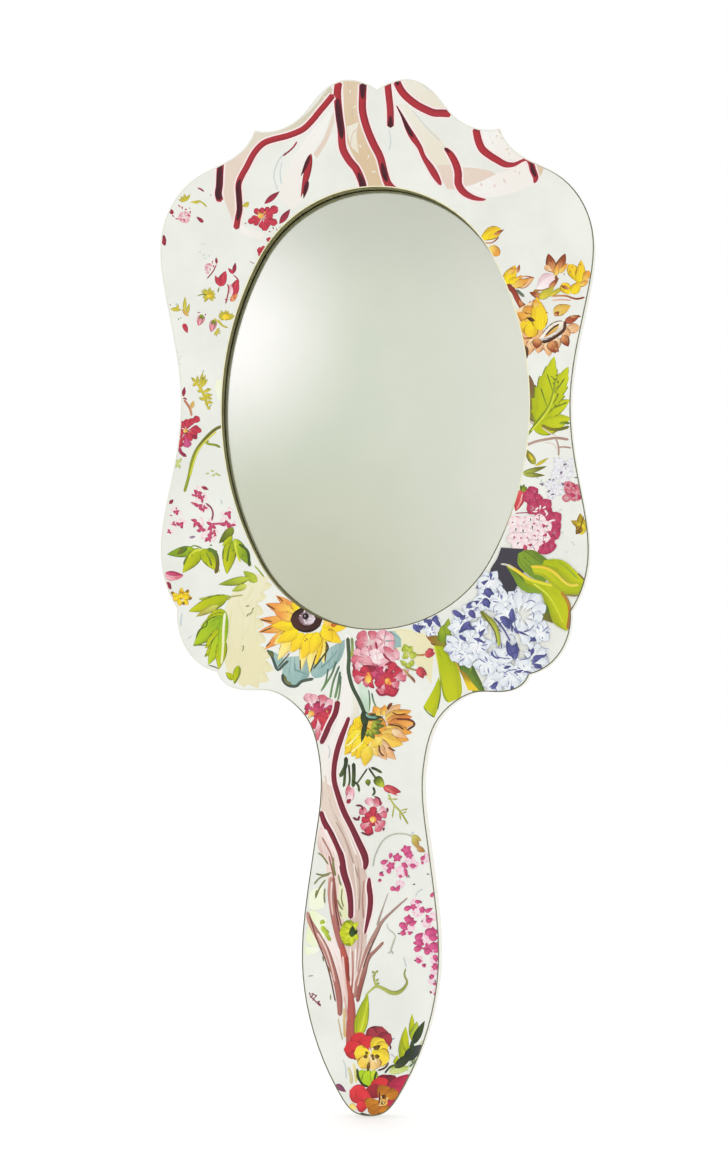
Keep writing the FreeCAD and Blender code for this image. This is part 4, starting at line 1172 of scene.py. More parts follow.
def blue_cluster():
    """The blue and white cluster at the lower right."""
    m = Motif("front_blue_cluster_white")
    for x, z, r, turn in ((37.9, 85.3, 4, 20), (33.6, 101, 3.2, 50), (33, 96.1, 3.4, 10),
            (28.7, 92.8, 2.7, 40), (26, 90.6, 2.4, 0), (37, 95, 3.6, 20), (28.3, 86.2, 2.7, 45),
            (24.8, 87.9, 2.6, 10), (24.4, 82.2, 3.6, 15), (27.1, 79.5, 2.9, 50), (30.6, 82.6, 3.4, 20),
            (38.9, 90.6, 3.8, 10), (41.4, 96.4, 2.6, 80), (48.7, 86.6, 3, 10), (47.5, 79.5, 3.6, 25),
            (33.4, 77.3, 3.6, 0), (37.3, 79.1, 3.2, 60), (40.1, 73.3, 4, 30), (35.2, 72, 3, 10),
            (43.6, 75.5, 3.4, 0), (31, 87.9, 2.6, 30), (12.8, 87.9, 1.6, 0), (15.4, 88.8, 1.8, 30),
            (18.1, 89.7, 1.7, 60), (16.8, 86.8, 1.6, 10)):
        disc(m, x, z, r * 0.6, FROST, look=(0, 0.3, 0, 0))
        blossom(m, x, z, r * 1.15, 6, FROST, None, turn=turn, wide=0.9, shape="leaf",
            look=(0.1, 0.35, 0.2, 0))
        for _ in range(4):
            t = draw.uniform(0, TURN)
            near, far = r * draw.uniform(0.1, 0.4), r * draw.uniform(0.6, 1)
            stroke(m, [(x + near * math.cos(t), z + near * math.sin(t)),
                (x + far * math.cos(t + 0.15), z + far * math.sin(t + 0.15))], ("8E94BE", "6C70A6", "4A4E80"),
                0.4)
    m.build()

    m = Motif("front_blue_cluster_shade")
    for ax, az, bx, bz, w in ((29.8, 99.2, 33.5, 101.8, 1.5), (33.9, 103.9, 34.2, 101.7, 0.9),
            (33, 99.5, 33.7, 96.4, 2.8), (32.5, 98.6, 35.2, 97.5, 2), (31.5, 95.5, 34.2, 95, 2.8),
            (32.6, 95.9, 33.7, 93.5, 2), (26.9, 93.7, 31, 95.7, 2), (28, 93, 29.7, 90.5, 2.2),
            (22.9, 92.8, 26.9, 90.4, 1.8), (25.4, 90.2, 26.9, 91.5, 1.6), (28.3, 89.7, 24.9, 86.2, 2.2),
            (27, 88.2, 29.9, 87.3, 1.6), (25, 85.7, 27.5, 83.9, 1.4), (29.9, 84.6, 32.7, 87.7, 1.5),
            (28.8, 85.3, 32.8, 83.4, 1.1), (17.6, 89.5, 18.6, 91.5, 2), (17.8, 90.6, 19.7, 87.9, 1.6),
            (16.5, 90.4, 16.4, 87.9, 1.8), (14.5, 90.6, 16.8, 88.8, 1.3), (11.7, 88.8, 13.8, 86.2, 1.8),
            (12.6, 87.3, 15, 88.4, 1.6), (40.3, 93.7, 40.3, 86.6, 2), (36.7, 91, 40.7, 89, 2.2),
            (37.6, 90.6, 39.8, 87.5, 2.2), (40.7, 87.9, 44.1, 85.7, 1.8), (41.6, 88.8, 45.8, 85.3, 1.5),
            (44.7, 85.7, 47.4, 84.2, 2.2), (40.4, 79.5, 38.8, 84.4, 2.4), (40.9, 78.6, 41.7, 83.9, 2.4),
            (39.9, 82.2, 42.6, 81.3, 3), (45.9, 80.4, 45.9, 82.8, 2.2), (44, 79.7, 46.6, 80.8, 1.6),
            (46.2, 78.9, 50.6, 80.4, 2), (46.2, 78.6, 49.1, 76.2, 2), (46.7, 77.3, 48.4, 76.3, 1.4),
            (34.5, 70.2, 36.5, 72.7, 1.7), (34.4, 81.1, 35.5, 79.3, 1.4), (35.1, 79.3, 39.1, 79.3, 0.9),
            (40.6, 71.5, 40.2, 69.3, 1.2), (40.9, 74.9, 43.8, 75.8, 1), (38, 76.3, 40.2, 76.9, 1),
            (43.6, 75.3, 46.3, 74.9, 0.9), (46, 91.9, 46.8, 93.3, 0.9), (44.5, 87.3, 46.7, 89, 1)):
        blade(m, ax, az, bx, bz, w * 0.85, INDIGO, "leaf", look=(0.12, 0.8, 0.5, 0))
    m.build()

    m = Motif("front_blue_cluster_petals")
    crisp = (0.09, 0.25, 0.25, 0)
    blades(m, FROST, "spoon", (42.2, 91.9, 42.1, 98.5, 3.6), (43.1, 92.4, 45.6, 97.9, 3.8),
        (43.7, 92.4, 48.1, 97.7, 3.8), (44.2, 91.9, 50.1, 94.4, 4), (44.2, 91, 49.3, 91.3, 3.6),
        (43.8, 90.6, 47.4, 87.9, 3.8), (42.9, 90.6, 43.6, 86.8, 3.4), (42.4, 91, 41.2, 87.9, 2.6),
        (35.1, 92.6, 37.5, 95, 3), (35.6, 98.6, 37.6, 99.5, 2.6), (32.5, 99.9, 30.3, 100.3, 2),
        (30.4, 93.7, 28.6, 95, 1.5), (28.8, 84.6, 26.3, 86.8, 2.4), (28.4, 84.8, 29.2, 87.3, 2.2),
        (28.8, 84.8, 30.8, 86.2, 2), (28.4, 84.6, 27, 84.4, 1.6), (24.9, 81.3, 21.1, 82.4, 3.2),
        (25.3, 81.7, 23.1, 83.5, 2.4), (26.2, 81.3, 27.1, 83.5, 2.6), (25.8, 80.4, 23.6, 78.2, 3),
        (27.1, 80.4, 27.6, 76.9, 2.8), (42.1, 86.6, 45.2, 83.5, 3.2), (43.4, 86.6, 47.4, 86.2, 2.4),
        (44.3, 83.5, 46.6, 82.6, 2.6), (43.5, 80.8, 45.7, 80, 2), (42.2, 79.1, 45.3, 77.7, 2.6),
        (39.5, 78.6, 34.8, 81.5, 2.4), (40, 78.2, 36, 78.2, 2.2), (46.6, 77.7, 50.4, 78.6, 2.2),
        (47.1, 80, 49.9, 81.7, 2.4), (39.2, 75.1, 34.8, 73.3, 3.2), (39.6, 74.6, 37.5, 71.1, 3.2),
        (40.5, 74.6, 41.9, 71.1, 3), (41.4, 75.1, 45, 73.3, 2.8), (38.7, 75.8, 36, 76, 2.4), look=crisp,
        notch=0.05)
    strokes(m, ("7A7EA8", "6A6E98", "4A4E78"), ([(43.9, 95), (45.7, 95.9), (47.2, 95)], 0.3),
        ([(44.7, 86.8), (46, 87.9), (46.8, 89)], 0.3), ([(41.5, 91.5), (41.1, 88.8), (42.1, 86.8)], 0.3),
        ([(45.7, 92.8), (46.6, 91.9), (46.3, 90.4)], 0.3), ([(35.1, 81.7), (36.4, 79.5), (39.1, 79.1)], 0.3),
        ([(42.2, 78.6), (44.9, 79.1), (45.9, 80)], 0.3), ([(40.9, 78.2), (41.1, 80.4)], 0.3),
        ([(35.6, 99.5), (36.5, 98.1), (36.1, 96.4)], 0.3), ([(37.8, 74.2), (39.2, 75.5), (42.2, 76)], 0.3))
    stroke(m, [(31.1, 92.8, 0.7), (32.7, 91, 1.5), (34.7, 89.3, 1.6), (36.1, 86.2, 1.4), (36.7, 82.4, 0.8)],
        ("9AA03A", "B4BE4A", "55551F"), 1.3, look=(0.12, 0.6, 0.5, 0))
    stroke(m, [(31.1, 92.8), (33.1, 90.2), (35.2, 87), (36.1, 83.5)], ("55551F", "6A6A2A", "3A3A1C"), 0.35)
    stroke(m, [(34.9, 91), (37.6, 87.9), (39.9, 83.9)], ("3D4068", "565A8E", "3D4068"), 0.45)
    m.build()


def lower_left_leaves():
    """The leaves, the bud and the pale cabbage leaf at the lower left."""
    m = Motif("front_left_leaves")
    blade(m, -52.2, 110.3, -60.3, 108.1, 3.2, ("9AB81E", "7C9A22", "3E5220"), "leaf", bend=-0.08)
    blade(m, -54.4, 111, -57.5, 108.8, 1.6, DEEP_LEAF, "leaf")
    blades(m, LIME, "leaf", (-50.2, 110.3, -56.5, 104.1, 4.2), (-50, 110.5, -45.8, 103.1, 3.9), bend=0.12)
    stroke(m, [(-48.6, 110.5), (-46.2, 109.2), (-45.5, 106.1), (-46.1, 103.1)],
        ("5C7D2A", "6A5A2A", "33421E"), 1.1)
    stroke(m, [(-52.2, 109.4), (-54.4, 108.1), (-55.6, 105.7)], MOSS, 0.6)
    stroke(m, [(-50, 110.1), (-52.4, 109.6), (-54.3, 107.4)], ("D9DE4A", "C8D22A", "8FA022"), 0.7)
    strokes(m, MOSS, ([(-49.1, 109.6), (-47.9, 107.4), (-47.2, 105.2)], 0.5),
        ([(-53.5, 111), (-52.2, 111.3), (-50, 110.5)], 0.4))
    blade(m, -41, 116.7, -44.7, 111.6, 2.6, ("7E8E26", "5C6A22", "2E3A1A"), "leaf", bend=-0.1)
    blade(m, -41.4, 113, -43.4, 103.1, 4.2, LIME, "leaf", bend=0.06)
    blade(m, -40.7, 113.4, -36.4, 104.9, 3.4, ("A9C01E", "7C9A22", "3E5220"), "leaf", bend=0.1)
    blade(m, -41.2, 114.1, -44.2, 111.2, 1.8, LIME, "leaf")
    stroke(m, [(-41.2, 113.2), (-42.2, 110.5), (-42.8, 106.5)], MOSS, 0.5)
    stroke(m, [(-40.5, 113), (-40, 109.6), (-38.8, 106.5)], ("D9DE4A", "C8D22A", "8FA022"), 0.6)
    stroke(m, [(-39.4, 111.9), (-36.7, 109.6), (-36.2, 105.2)], ("4A6424", "3E5220", "2E3A1A"), 0.8)
    specks(m, [(-53, 108.1), (-48, 111.4), (-45.5, 109.6), (-41.5, 109.6), (-38.4, 107.9)], MOSS, 0.4)
    blade(m, -61.1, 102.5, -55.5, 102.5, 2.9, PINK, "bud", look=(0.1, 0.7, 0.6, 0))
    blades(m, None, "leaf", (-60.9, 103.4, -55.5, 102.8, 1.3, PINK_RED),
        (-60.5, 100.7, -59, 98.5, 1.5, DEEP_ROSE))
    for ax, az, bx, bz in ((-56.3, 95.5, -59.3, 97.9), (-56.1, 96.4, -56, 99.2), (-55.7, 96.1, -53.7, 98.3),
            (-55.5, 96.4, -52.8, 96.1), (-55.5, 95.5, -53.9, 94.1), (-56.3, 95.5, -56.8, 93.7),
            (-56.8, 96.1, -58.8, 95.5)):
        blade(m, ax, az, bx, bz, 1.7, YOLK, "leaf")
    for ax, az, bx, bz in ((-54.6, 97.5, -54, 98.6), (-54.1, 95.7, -52.9, 96.1), (-55.7, 95, -55.2, 94),
            (-58.4, 97.2, -59, 97.9)):
        blade(m, ax, az, bx, bz, 0.9, ("8C8A2A", "8A4A22", "5A2A1C"))
    disc(m, -56.1, 96.6, 1, YOLK)
    specks(m, [(-56.6, 97.5), (-55.5, 97.2), (-56.1, 95.7)], RUST, 0.3)
    m.build()

    m = Motif("front_cabbage_leaf")
    blades(m, WASH, "leaf", (-33.8, 99.5, -29.4, 99.9, 3), (-34.7, 96.8, -31.1, 96.4, 3.4),
        (-35.5, 93.3, -31.9, 91.5, 3.4), (-35, 89.3, -31.8, 87.9, 3.6), (-34.9, 85.3, -31.1, 83.5, 3.4),
        (-34.4, 80.8, -29.3, 79.1, 3.8), (-34.3, 77.3, -28.7, 75.3, 3.8), (-34.7, 74.6, -30.2, 72, 3.8),
        (-36, 74.2, -33.3, 70, 3.4), (-37.8, 74.2, -37.5, 70.2, 3.2), look=(0.1, 0.4, 0.3, 0))
    patch(m, [(-36.6, 103.9), (-40.5, 98.6), (-43.2, 92.8), (-43.9, 86.2), (-43.7, 80.8), (-42.2, 74.6),
        (-38.6, 70.9)], [(-30.3, 102.1), (-32.5, 98.6), (-34, 94.1), (-33.8, 87.9), (-32.9, 82.6),
        (-31.2, 77.3), (-34.2, 71.1)], WASH, (0, 0.25, 0, 0))
    strokes(m, ("E2DCB2", "E6E0BA", "D2CBA0"),
        ([(-38.7, 72.4), (-38.4, 81.7), (-37.2, 92.8), (-35.4, 99.9)], 0.45),
        ([(-38.5, 75.5), (-36.2, 80.8), (-34.3, 87)], 0.45),
        ([(-39, 76.4), (-40.6, 82.6), (-42, 89.7)], 0.45),
        ([(-37.4, 90.6), (-39.1, 94.6), (-39.1, 97.7)], 0.45), ([(-36.8, 93.7), (-34.4, 96.4)], 0.45),
        ([(-38.2, 83.9), (-36.3, 87.9), (-34.8, 91.5)], 0.45))
    blade(m, -33.8, 100.8, -38, 104, 2.6, ("B6C43A", "9DB02E", "6E7E2A"), "leaf")
    blade(m, -36.1, 101.9, -45.1, 99.5, 2.4, ("B6C43A", "8FA02A", "4A4A1C"), "leaf", bend=-0.06)
    blade(m, -36.9, 99.9, -41.3, 98.1, 2, ("C8CE5A", "A9B83A", "6E7E2A"), "leaf")
    blade(m, -41.3, 96.4, -51.1, 95.2, 2.2, ("B6C43A", "A9B83A", "55611F"), "leaf", bend=-0.06)
    blade(m, -42.6, 96.4, -53.7, 91.6, 4.2, LIME, "leaf", bend=-0.05)
    blade(m, -45.2, 94.1, -51.8, 90.6, 2, ("C8CE5A", "B0A84A", "6E5A2A"), "leaf")
    stroke(m, [(-43.3, 96.1), (-40.9, 96.6), (-37.8, 97)], ("9A9A5A", "B4B06A", "6A6A3A"), 0.45)
    blades(m, LIME, "leaf", (-43.2, 92.4, -48.5, 90.4, 2.6), (-43.2, 91.5, -50.4, 87.7, 3.2))
    blade(m, -43.4, 90.6, -52.7, 82.4, 5.4, ("8FB41E", "A9C41E", "4A5A1C"), "leaf", bend=0.04)
    blades(m, None, "leaf", (-43.8, 87, -49, 81.5, 3.4, LIME), (-43.5, 85.7, -49, 78.9, 3, LIME),
        (-43.6, 86.2, -48, 76.6, 3.8, ("A9C41E", "B4C81E", "55611F")), (-43.7, 84.4, -44.9, 75.3, 3.4, LIME))
    blade(m, -43.2, 92.4, -44.1, 77.3, 2.8, ("8FB41E", "A9C41E", "6E8E1C"), "leaf", bend=-0.04)
    stroke(m, [(-43.2, 91.9), (-43.6, 87), (-43.7, 81.7), (-44.1, 76.9)], ("F1EED3", "E9E8B0", "D9D88A"), 0.7)
    strokes(m, ("5A6A1C", "4A5A1C", "3A4A1C"), ([(-52.6, 82.4), (-50.4, 82.4), (-48.1, 82.4)], 0.3),
        ([(-49.2, 79.1), (-48.1, 80)], 0.3),
        ([(-51.7, 84.4), (-50.7, 86.8), (-48.7, 87.9), (-48.3, 89.7)], 0.3),
        ([(-48, 76.6), (-45.8, 76), (-44.9, 75.3)], 0.3))
    blades(m, LIME, "leaf", (-39, 76.6, -40.4, 71.1, 2.2), (-40.4, 72.4, -42.9, 74.6, 1.8))
    stroke(m, [(-39.1, 76.6), (-38.9, 73.8), (-40.4, 71.1)], MOSS, 0.45)
    strokes(m, ("8A8A4A", "9A9A5A", "6A6A3A"), ([(-37.3, 93.7), (-35.9, 93.9)], 0.4),
        ([(-35.5, 92.4), (-34.6, 93.5)], 0.4), ([(-37, 90.6), (-36.1, 91.9)], 0.4),
        ([(-36.3, 91), (-34.8, 92.6)], 0.4), ([(-38.4, 82), (-37.6, 82.2), (-38.1, 80.4)], 0.4))
    strokes(m, ("E0DCAE", "E4E0B4", "D4CF98"), ([(-41.2, 92.8), (-42, 86.2), (-41.4, 78.2)], 0.5),
        ([(-34.7, 99.5), (-36.4, 96.8), (-38.2, 95)], 0.5),
        ([(-33.8, 95.9), (-34.5, 88.8), (-33.5, 80.8)], 0.5),
        ([(-36.5, 74.6), (-34.3, 73.8), (-32, 74.2)], 0.5))
    stroke(m, [(-34.8, 105.7), (-33.2, 103.9), (-31.7, 102.1)], ("A9B85A", "8FA03A", "6A6A3A"), 0.5)
    strokes(m, GREY, ([(-55.8, 91.9), (-56.2, 88.8), (-56, 87.5)], 0.5),
        ([(-54.4, 83.9), (-52.6, 85.3)], 0.4))
    m.build()


def sunflower():
    """The sunflower under the mirror, on its grey-green leaf."""
    m = Motif("front_teal_leaf")
    patch(m, [(-30.8, 81.3), (-28.4, 80.4), (-25.9, 78.6)], [(-29.5, 78.6), (-28.1, 75.3), (-25.5, 76.9)],
        TEAL)
    patch(m, [(-25.9, 79.1), (-26.3, 74.2), (-25.4, 71.1), (-22.7, 70.4)],
        [(-18.9, 79.5), (-18.3, 76), (-18.7, 73.3), (-20.9, 72)], TEAL, (0, 0.7, 0.3, 0))
    patch(m, [(-19.3, 78.2), (-18.3, 75.1), (-17, 73.1), (-14.8, 73.3)],
        [(-7.9, 84.4), (-8.3, 81.3), (-9.5, 78.2), (-12.1, 75.5)], TEAL, (0, 0.7, 0.3, 0))
    stroke(m, [(-30.8, 81.2), (-29.5, 79.5), (-28.6, 77.3), (-27.6, 75.3), (-26.1, 76.6), (-24.4, 78.2)],
        ("3E5250", "4E5A50", "2A3634"), 0.8)
    stroke(m, [(-26.1, 74.4), (-26, 72.4), (-24.5, 70.9), (-22.2, 70.7), (-20.5, 72.1), (-17, 72.9)],
        ("3E4A40", "4E5A50", "2A3634"), 0.9)
    stroke(m, [(-25.6, 73.8), (-25.1, 72), (-23.4, 71.2)], ("6A6A3A", "7A7A4A", "4A4A2A"), 0.8)
    strokes(m, ("6E8E8A", "7FA09C", "4E6A68"), ([(-22.8, 75.5), (-20.5, 74.6), (-18.3, 73.3)], 0.4),
        ([(-15.2, 76), (-12.6, 78.2), (-10, 81.3)], 0.4))
    blade(m, -30.2, 80.8, -28.8, 79.1, 1.5, ("5A6A3A", "6A6A3A", "3A3A1C"), "leaf")
    m.build()

    m = Motif("front_sunflower")
    gold = ("F7DC22", "F4CE2A", "A8701F")
    pale = ("F7DC2A", "F7E690", "A07428")
    burnt = ("F6CE56", "E8944A", "A8552A")
    for ax, az, bx, bz, w, inks in ((-22.6, 92.4, -28.2, 97.2, 2.6, burnt),
            (-21.3, 92.8, -25.6, 95.5, 2.4, burnt), (-22.6, 91.5, -31.4, 94.4, 3.6, burnt),
            (-23, 89.3, -33.2, 89.8, 3, burnt), (-23.7, 88.4, -33.4, 86.3, 2.9, burnt),
            (-23.4, 87.5, -31.7, 81.7, 3, burnt), (-23, 86.6, -28.9, 82.8, 3.4, pale),
            (-22.5, 86.8, -27.5, 78, 3.8, pale), (-15, 87.9, -7.7, 87.7, 3.6, gold),
            (-14.6, 89.3, -9.7, 89.5, 2.6, burnt), (-15, 87, -9, 83.3, 3.8, gold),
            (-15.4, 86.2, -13.9, 77.3, 3.4, pale), (-16.3, 86.6, -16.1, 76.6, 3.6, gold),
            (-17.2, 86.2, -18.3, 74.4, 3.4, pale), (-19, 86.2, -21.2, 75.3, 3, pale),
            (-20.3, 86.2, -23.5, 80.2, 3.8, gold), (-17.2, 86.2, -20.8, 78.6, 4.2, gold),
            (-21.6, 86.8, -28.2, 83.5, 3.6, gold), (-22.6, 88.4, -29.6, 87.9, 3.4, gold),
            (-22.6, 90.2, -28.8, 91.5, 3, burnt), (-15.9, 86.2, -18, 80, 3.6, gold),
            (-14.8, 87.5, -11.8, 83.9, 4, gold), (-21.7, 92.4, -23.6, 95, 2.2, gold)):
        blade(m, ax, az, bx, bz, w, inks, "leaf", bend=draw.uniform(-0.05, 0.05), look=(0.1, 0.3, 0.22, 0))
    for ax, az, bx, bz in ((-24, 80.4, -27.7, 76), (-21.1, 78.6, -21, 75.1), (-16.4, 80, -18.1, 74.6),
            (-13.4, 83.5, -13.9, 77.7), (-29.6, 83.5, -31.3, 82), (-29.2, 87.7, -32.9, 86.2),
            (-29.2, 89.3, -33, 89.9), (-28.4, 92.8, -31.3, 94.4), (-26, 95, -28, 96.8)):
        stroke(m, [(ax, az), (bx, bz)], ("5A4420", "4A3A1C", "3A2A14"), 0.35)
    blade(m, -12.1, 87.9, -10.2, 89.5, 1.3, ("D0702A", "C0602A", "7A3A1C"), "leaf")
    specks(m, [(-19.4, 83.5), (-18.7, 83.9), (-22.5, 87.9), (-12.3, 86.6)], RUST, 0.4)
    seed = ("4A2A22", "3A1E1A", "1E1010")
    petal(m, -24.1, 89.9, 0, 9.4, 7.4, seed, "disc", look=(0.2, 0.8, 0.5, 0))
    petal(m, -21.7, 90.4, 0, 5, 4.4, ("8A7078", "D9CBD0", "5A4048"), "disc", look=(0.1, 0.9, 0.5, 0))
    specks(m, [(-20.8, 91), (-20.4, 89.7), (-19.2, 88.6), (-17.9, 89.5), (-17.7, 90.8), (-18.9, 91.9),
        (-20.2, 91.7), (-19.7, 89.3), (-18.6, 88.8), (-20.2, 90.4), (-18.2, 90.2)],
        ("EFE6EA", "E4D9DE", "9A8088"), 0.42)
    disc(m, -19.6, 90.9, 0.95, ("2A1A1E", "1E1216", "1E1216"))
    specks(m, [(-19.8, 90.6)], ("C9B8BE", "D9CBD0", "9A8088"), 0.25)
    m.build()


def neck_flowers():
    """The stems, pink flowers and chrysanthemum of the neck."""
    m = Motif("front_trunk_ribbon")
    patch(m, [(-8.2, 85.8), (-8.1, 79.3), (-8.9, 72), (-9.5, 65.1), (-11, 58.2), (-14.2, 52.9), (-14.8, 47.6),
        (-14.1, 41.1), (-14.5, 35.4)], [(-6.5, 85.8), (-6.7, 76.8), (-5.4, 69.1), (-6.2, 62.2), (-8.2, 55.7),
        (-10.6, 50.5), (-11.3, 45.2), (-10.5, 40.3), (-9.2, 36.2)], PALE_FOLD, (0, 0.5, 0, 0))
    patch(m, [(-5.9, 70.8), (-4.2, 67.1), (-3.8, 63)], [(-6.2, 64.7), (-6, 62.2), (-5.4, 59.8)],
        ("E9E6DC", "E0DCC8", "C9C09A"))
    patch(m,
        [(-14.8, 43.6), (-14.6, 35.4), (-12.4, 29.7), (-9.9, 24.9), (-8.9, 20.7), (-6.8, 12.6), (-5.8, 4.5)],
        [(-10.3, 41.1), (-8.2, 35.8), (-5.9, 31), (-3, 24.1), (-1.6, 18.3), (-0.6, 12.6), (-0.9, 3.6)],
        ("DDCCBE", "CDB5A8", "A98A80"), (0, 0.7, 0, 0))
    patch(m, [(-14.6, 31), (-15.6, 25.7), (-14.8, 22.7), (-12.3, 19.5)],
        [(-12.4, 27.3), (-9.9, 23.2), (-11.5, 22.3), (-10.7, 18.7)], ("E6CFC8", "D9B8B0", "B0807A"),
        (0, 0.6, 0, 0))
    patch(m, [(-5.8, 5.3), (-7.4, -2.9), (-6.4, -10.6), (-5.8, -17.9)],
        [(-0.7, 5.3), (-1.1, -2.4), (-1.9, -8.5), (-3.7, -17.9)], ("CDB5A8", "E4D4CA", "B9968A"),
        (0, 0.6, 0, 0))
    patch(m, [(-15.5, -1.2), (-12.7, -6.9), (-10.2, -13.4), (-9, -20.3)],
        [(-9, -1.2), (-7.8, -6.9), (-6.6, -13.4), (-6.8, -20.3)], ("F0E2DC", "E6CFC6", "C9A89C"),
        (0, 0.6, 0, 0))
    patch(m, [(-15.6, 28.8), (-14, 23.9), (-12.7, 15.8), (-11.9, 6.1), (-9.7, -2.9)],
        [(-13.6, 29.6), (-10.7, 23.9), (-9.1, 15.8), (-8.2, 6.1), (-6.6, -2.9)],
        ("EBD9D0", "E0C6BC", "B9968A"), (0, 0.7, 0, 0))
    stroke(m, [(-13, 54.1), (-12.2, 52.1), (-12.6, 49.6)], GREY, 0.4)
    stroke(m, [(-13.6, 45.2), (-12.9, 41.1), (-10.8, 36.2), (-7.9, 30.2)], BLUSH, 0.6)
    stroke(m, [(-10.4, 31.8), (-7.5, 26.5), (-5.4, 20.7), (-3.4, 15)], DUN, 0.4)
    stroke(m, [(-9.2, 33.4), (-6.7, 28.1), (-4.2, 21.9)], ("E9DDD2", "EFE6DE", "CDB5A8"), 0.5)
    m.build()

    m = Motif("front_neck_stems")
    wet = ("54705A", "6E8E5A", "2E3E2E")
    strokes(m, wet, ([(-10.5, 78.1), (-12, 74), (-14.8, 69.5)], 0.6),
        ([(-9.6, 76.8), (-11.4, 72), (-12.3, 67.1)], 0.6),
        ([(-9.4, 75.2), (-10.1, 70.8), (-10.9, 67.1)], 0.7), ([(-12.9, 76), (-13.6, 72), (-15, 69.1)], 0.5),
        ([(-9.2, 74), (-9.5, 69.5), (-10.1, 66.3)], 0.5), ([(-2.4, 70.4), (-2.2, 66.3), (-2.1, 63)], 0.7),
        ([(-1.2, 69.9), (-0.8, 66.3), (-1.1, 63)], 0.6), ([(-0.2, 69.1), (0.3, 66.7), (1.3, 64.3)], 0.5),
        ([(-3.4, 70.8), (-3.2, 67.9), (-2.4, 65.1)], 0.5))
    patch(m, [(-4.3, 72), (-3.8, 68.7), (-2.2, 63.9)], [(-1.4, 70.8), (-1, 67.1), (-0.9, 62.2)],
        ("CFE0CF", "B4CDB4", "7FA07F"))
    stroke(m, [(-7.3, 85), (-6.9, 79.3), (-7, 75.2), (-5.9, 70.8), (-4, 67.1), (-2.6, 63.9), (-1.9, 61)],
        ("4A5A42", "3A4A36", "2A3428"), 1.1)
    stroke(m, [(-6.1, 85), (-5.9, 81.7), (-6.1, 78.9)], ("7A8A5A", "9AA84A", "4A5A2A"), 0.8)
    stroke(m, [(-4.9, 84.2), (-4.4, 80.9)], ("8A5A6A", "7A4A5A", "5A3A48"), 0.8)
    stroke(m, [(-13.8, 83.8), (-13, 81.7), (-14.5, 79.3), (-17.3, 75.6)], ("4A4A2A", "3A4A2A", "2A3428"), 0.5)
    dark = ("2E3A22", "4A5A2E", "1E2818")
    strokes(m, dark, ([(-7.5, 50.5), (-7.7, 47.6), (-9.3, 44.4)], 1.2),
        ([(-7.7, 48.4), (-7.9, 43.6), (-8.2, 41.5)], 0.8), ([(-5.3, 48.8), (-5.2, 45.2), (-5.4, 41.5)], 1.1),
        ([(-6.7, 48.4), (-6.4, 43.6), (-7, 41.1)], 0.6), ([(-5.8, 43.6), (-4, 42.3), (-3.6, 40.1)], 0.7),
        ([(-1.2, 47.2), (-2.8, 44.8), (-4.4, 42.5)], 0.5), ([(-1, 47.4), (0.5, 45.2), (1.7, 43.6)], 0.6),
        ([(-0.4, 47.4), (1.3, 46.8), (3.1, 45.8)], 0.8), ([(0.3, 41.9), (0.9, 40.3), (0.1, 39.1)], 0.7))
    blade(m, -1.2, 44, -0.9, 41.9, 1.6, ("7E8E2A", "5C6A22", "2E3A1A"), "leaf")
    blades(m, None, "bud", (0.9, 44.6, 3.7, 41.7, 2.8, ("4A5A22", "B4C23A", "2A3418")),
        (3.3, 41.7, 8.6, 40.3, 2.3, BUD_RED))
    blade(m, 4.1, 41.5, 7.6, 39.3, 1.1, ("E07A74", "C84A4E", "8A2A34"), "leaf")
    blades(m, None, "bud", (-6.4, 38.7, -6.8, 42.3, 2.2, PINK), (-6.8, 37.5, -5.4, 41.5, 2.4, PALE_PINK))
    blade(m, -7.2, 36.9, -6, 38.3, 1.3, DEEP_ROSE)
    m.build()

    m = Motif("front_neck_pink_flowers")
    for x, z, r, inks in ((-15.6, 63.9, 2.6, PINK_RED), (-15.1, 61.4, 1.8, ROSE), (-0.7, 79.3, 3.4, PINK),
            (2.5, 79.3, 3.2, PALE_PINK), (-1.5, 74.4, 2.6, ROSE), (3.8, 72.8, 3.2, ROSE),
            (1.4, 74.8, 2, PINK_RED)):
        disc(m, x, z, r, inks)
    blades(m, None, "spoon", (-17.2, 64.3, -19.2, 68.7, 3, PALE_PINK),
        (-17.2, 64.7, -16.8, 68.5, 2.8, PALE_PINK), (-15.2, 64.7, -14, 68.3, 3, PINK),
        (-14.3, 64.3, -11.5, 66.7, 3.2, PALE_PINK), (-17.4, 63.9, -19.6, 65.1, 2.4, PINK_RED),
        (-16.8, 63.9, -16, 65.7, 2.2, PINK_RED), (-14.7, 63.9, -11.1, 64.3, 2.4, PINK_RED),
        (-15.9, 63, -11.5, 62.2, 3.8, ROSE), (-15.9, 62.6, -11.9, 59, 3.4, ("D23F4A", "C43F48", "8A2A34")),
        (-16.8, 61.8, -17.1, 58.2, 2.6, ROSE), (-15.9, 61.4, -15.1, 56.5, 2.8, PALE_PINK),
        (-18, 62.6, -19.6, 63.4, 2, ROSE), (-14.3, 61.4, -14.3, 57.4, 1.6, ROSE),
        (-15.5, 60.2, -15.9, 54.9, 1.8, PINK), notch=0.06)
    disc(m, -17.7, 62.8, 0.95, GOLD_HEART)
    specks(m, [(-17.8, 61.4), (-13.1, 63), (-12.7, 62), (-18.6, 61.4)], GOLD_HEART, 0.35)
    blossom(m, -0.8, 83.3, 4.2, 6, PINK, None, turn=10, look=(0.12, 0.8, 0.3, 0))
    blossom(m, 3.2, 83.8, 3.4, 5, PALE_PINK, None, turn=40)
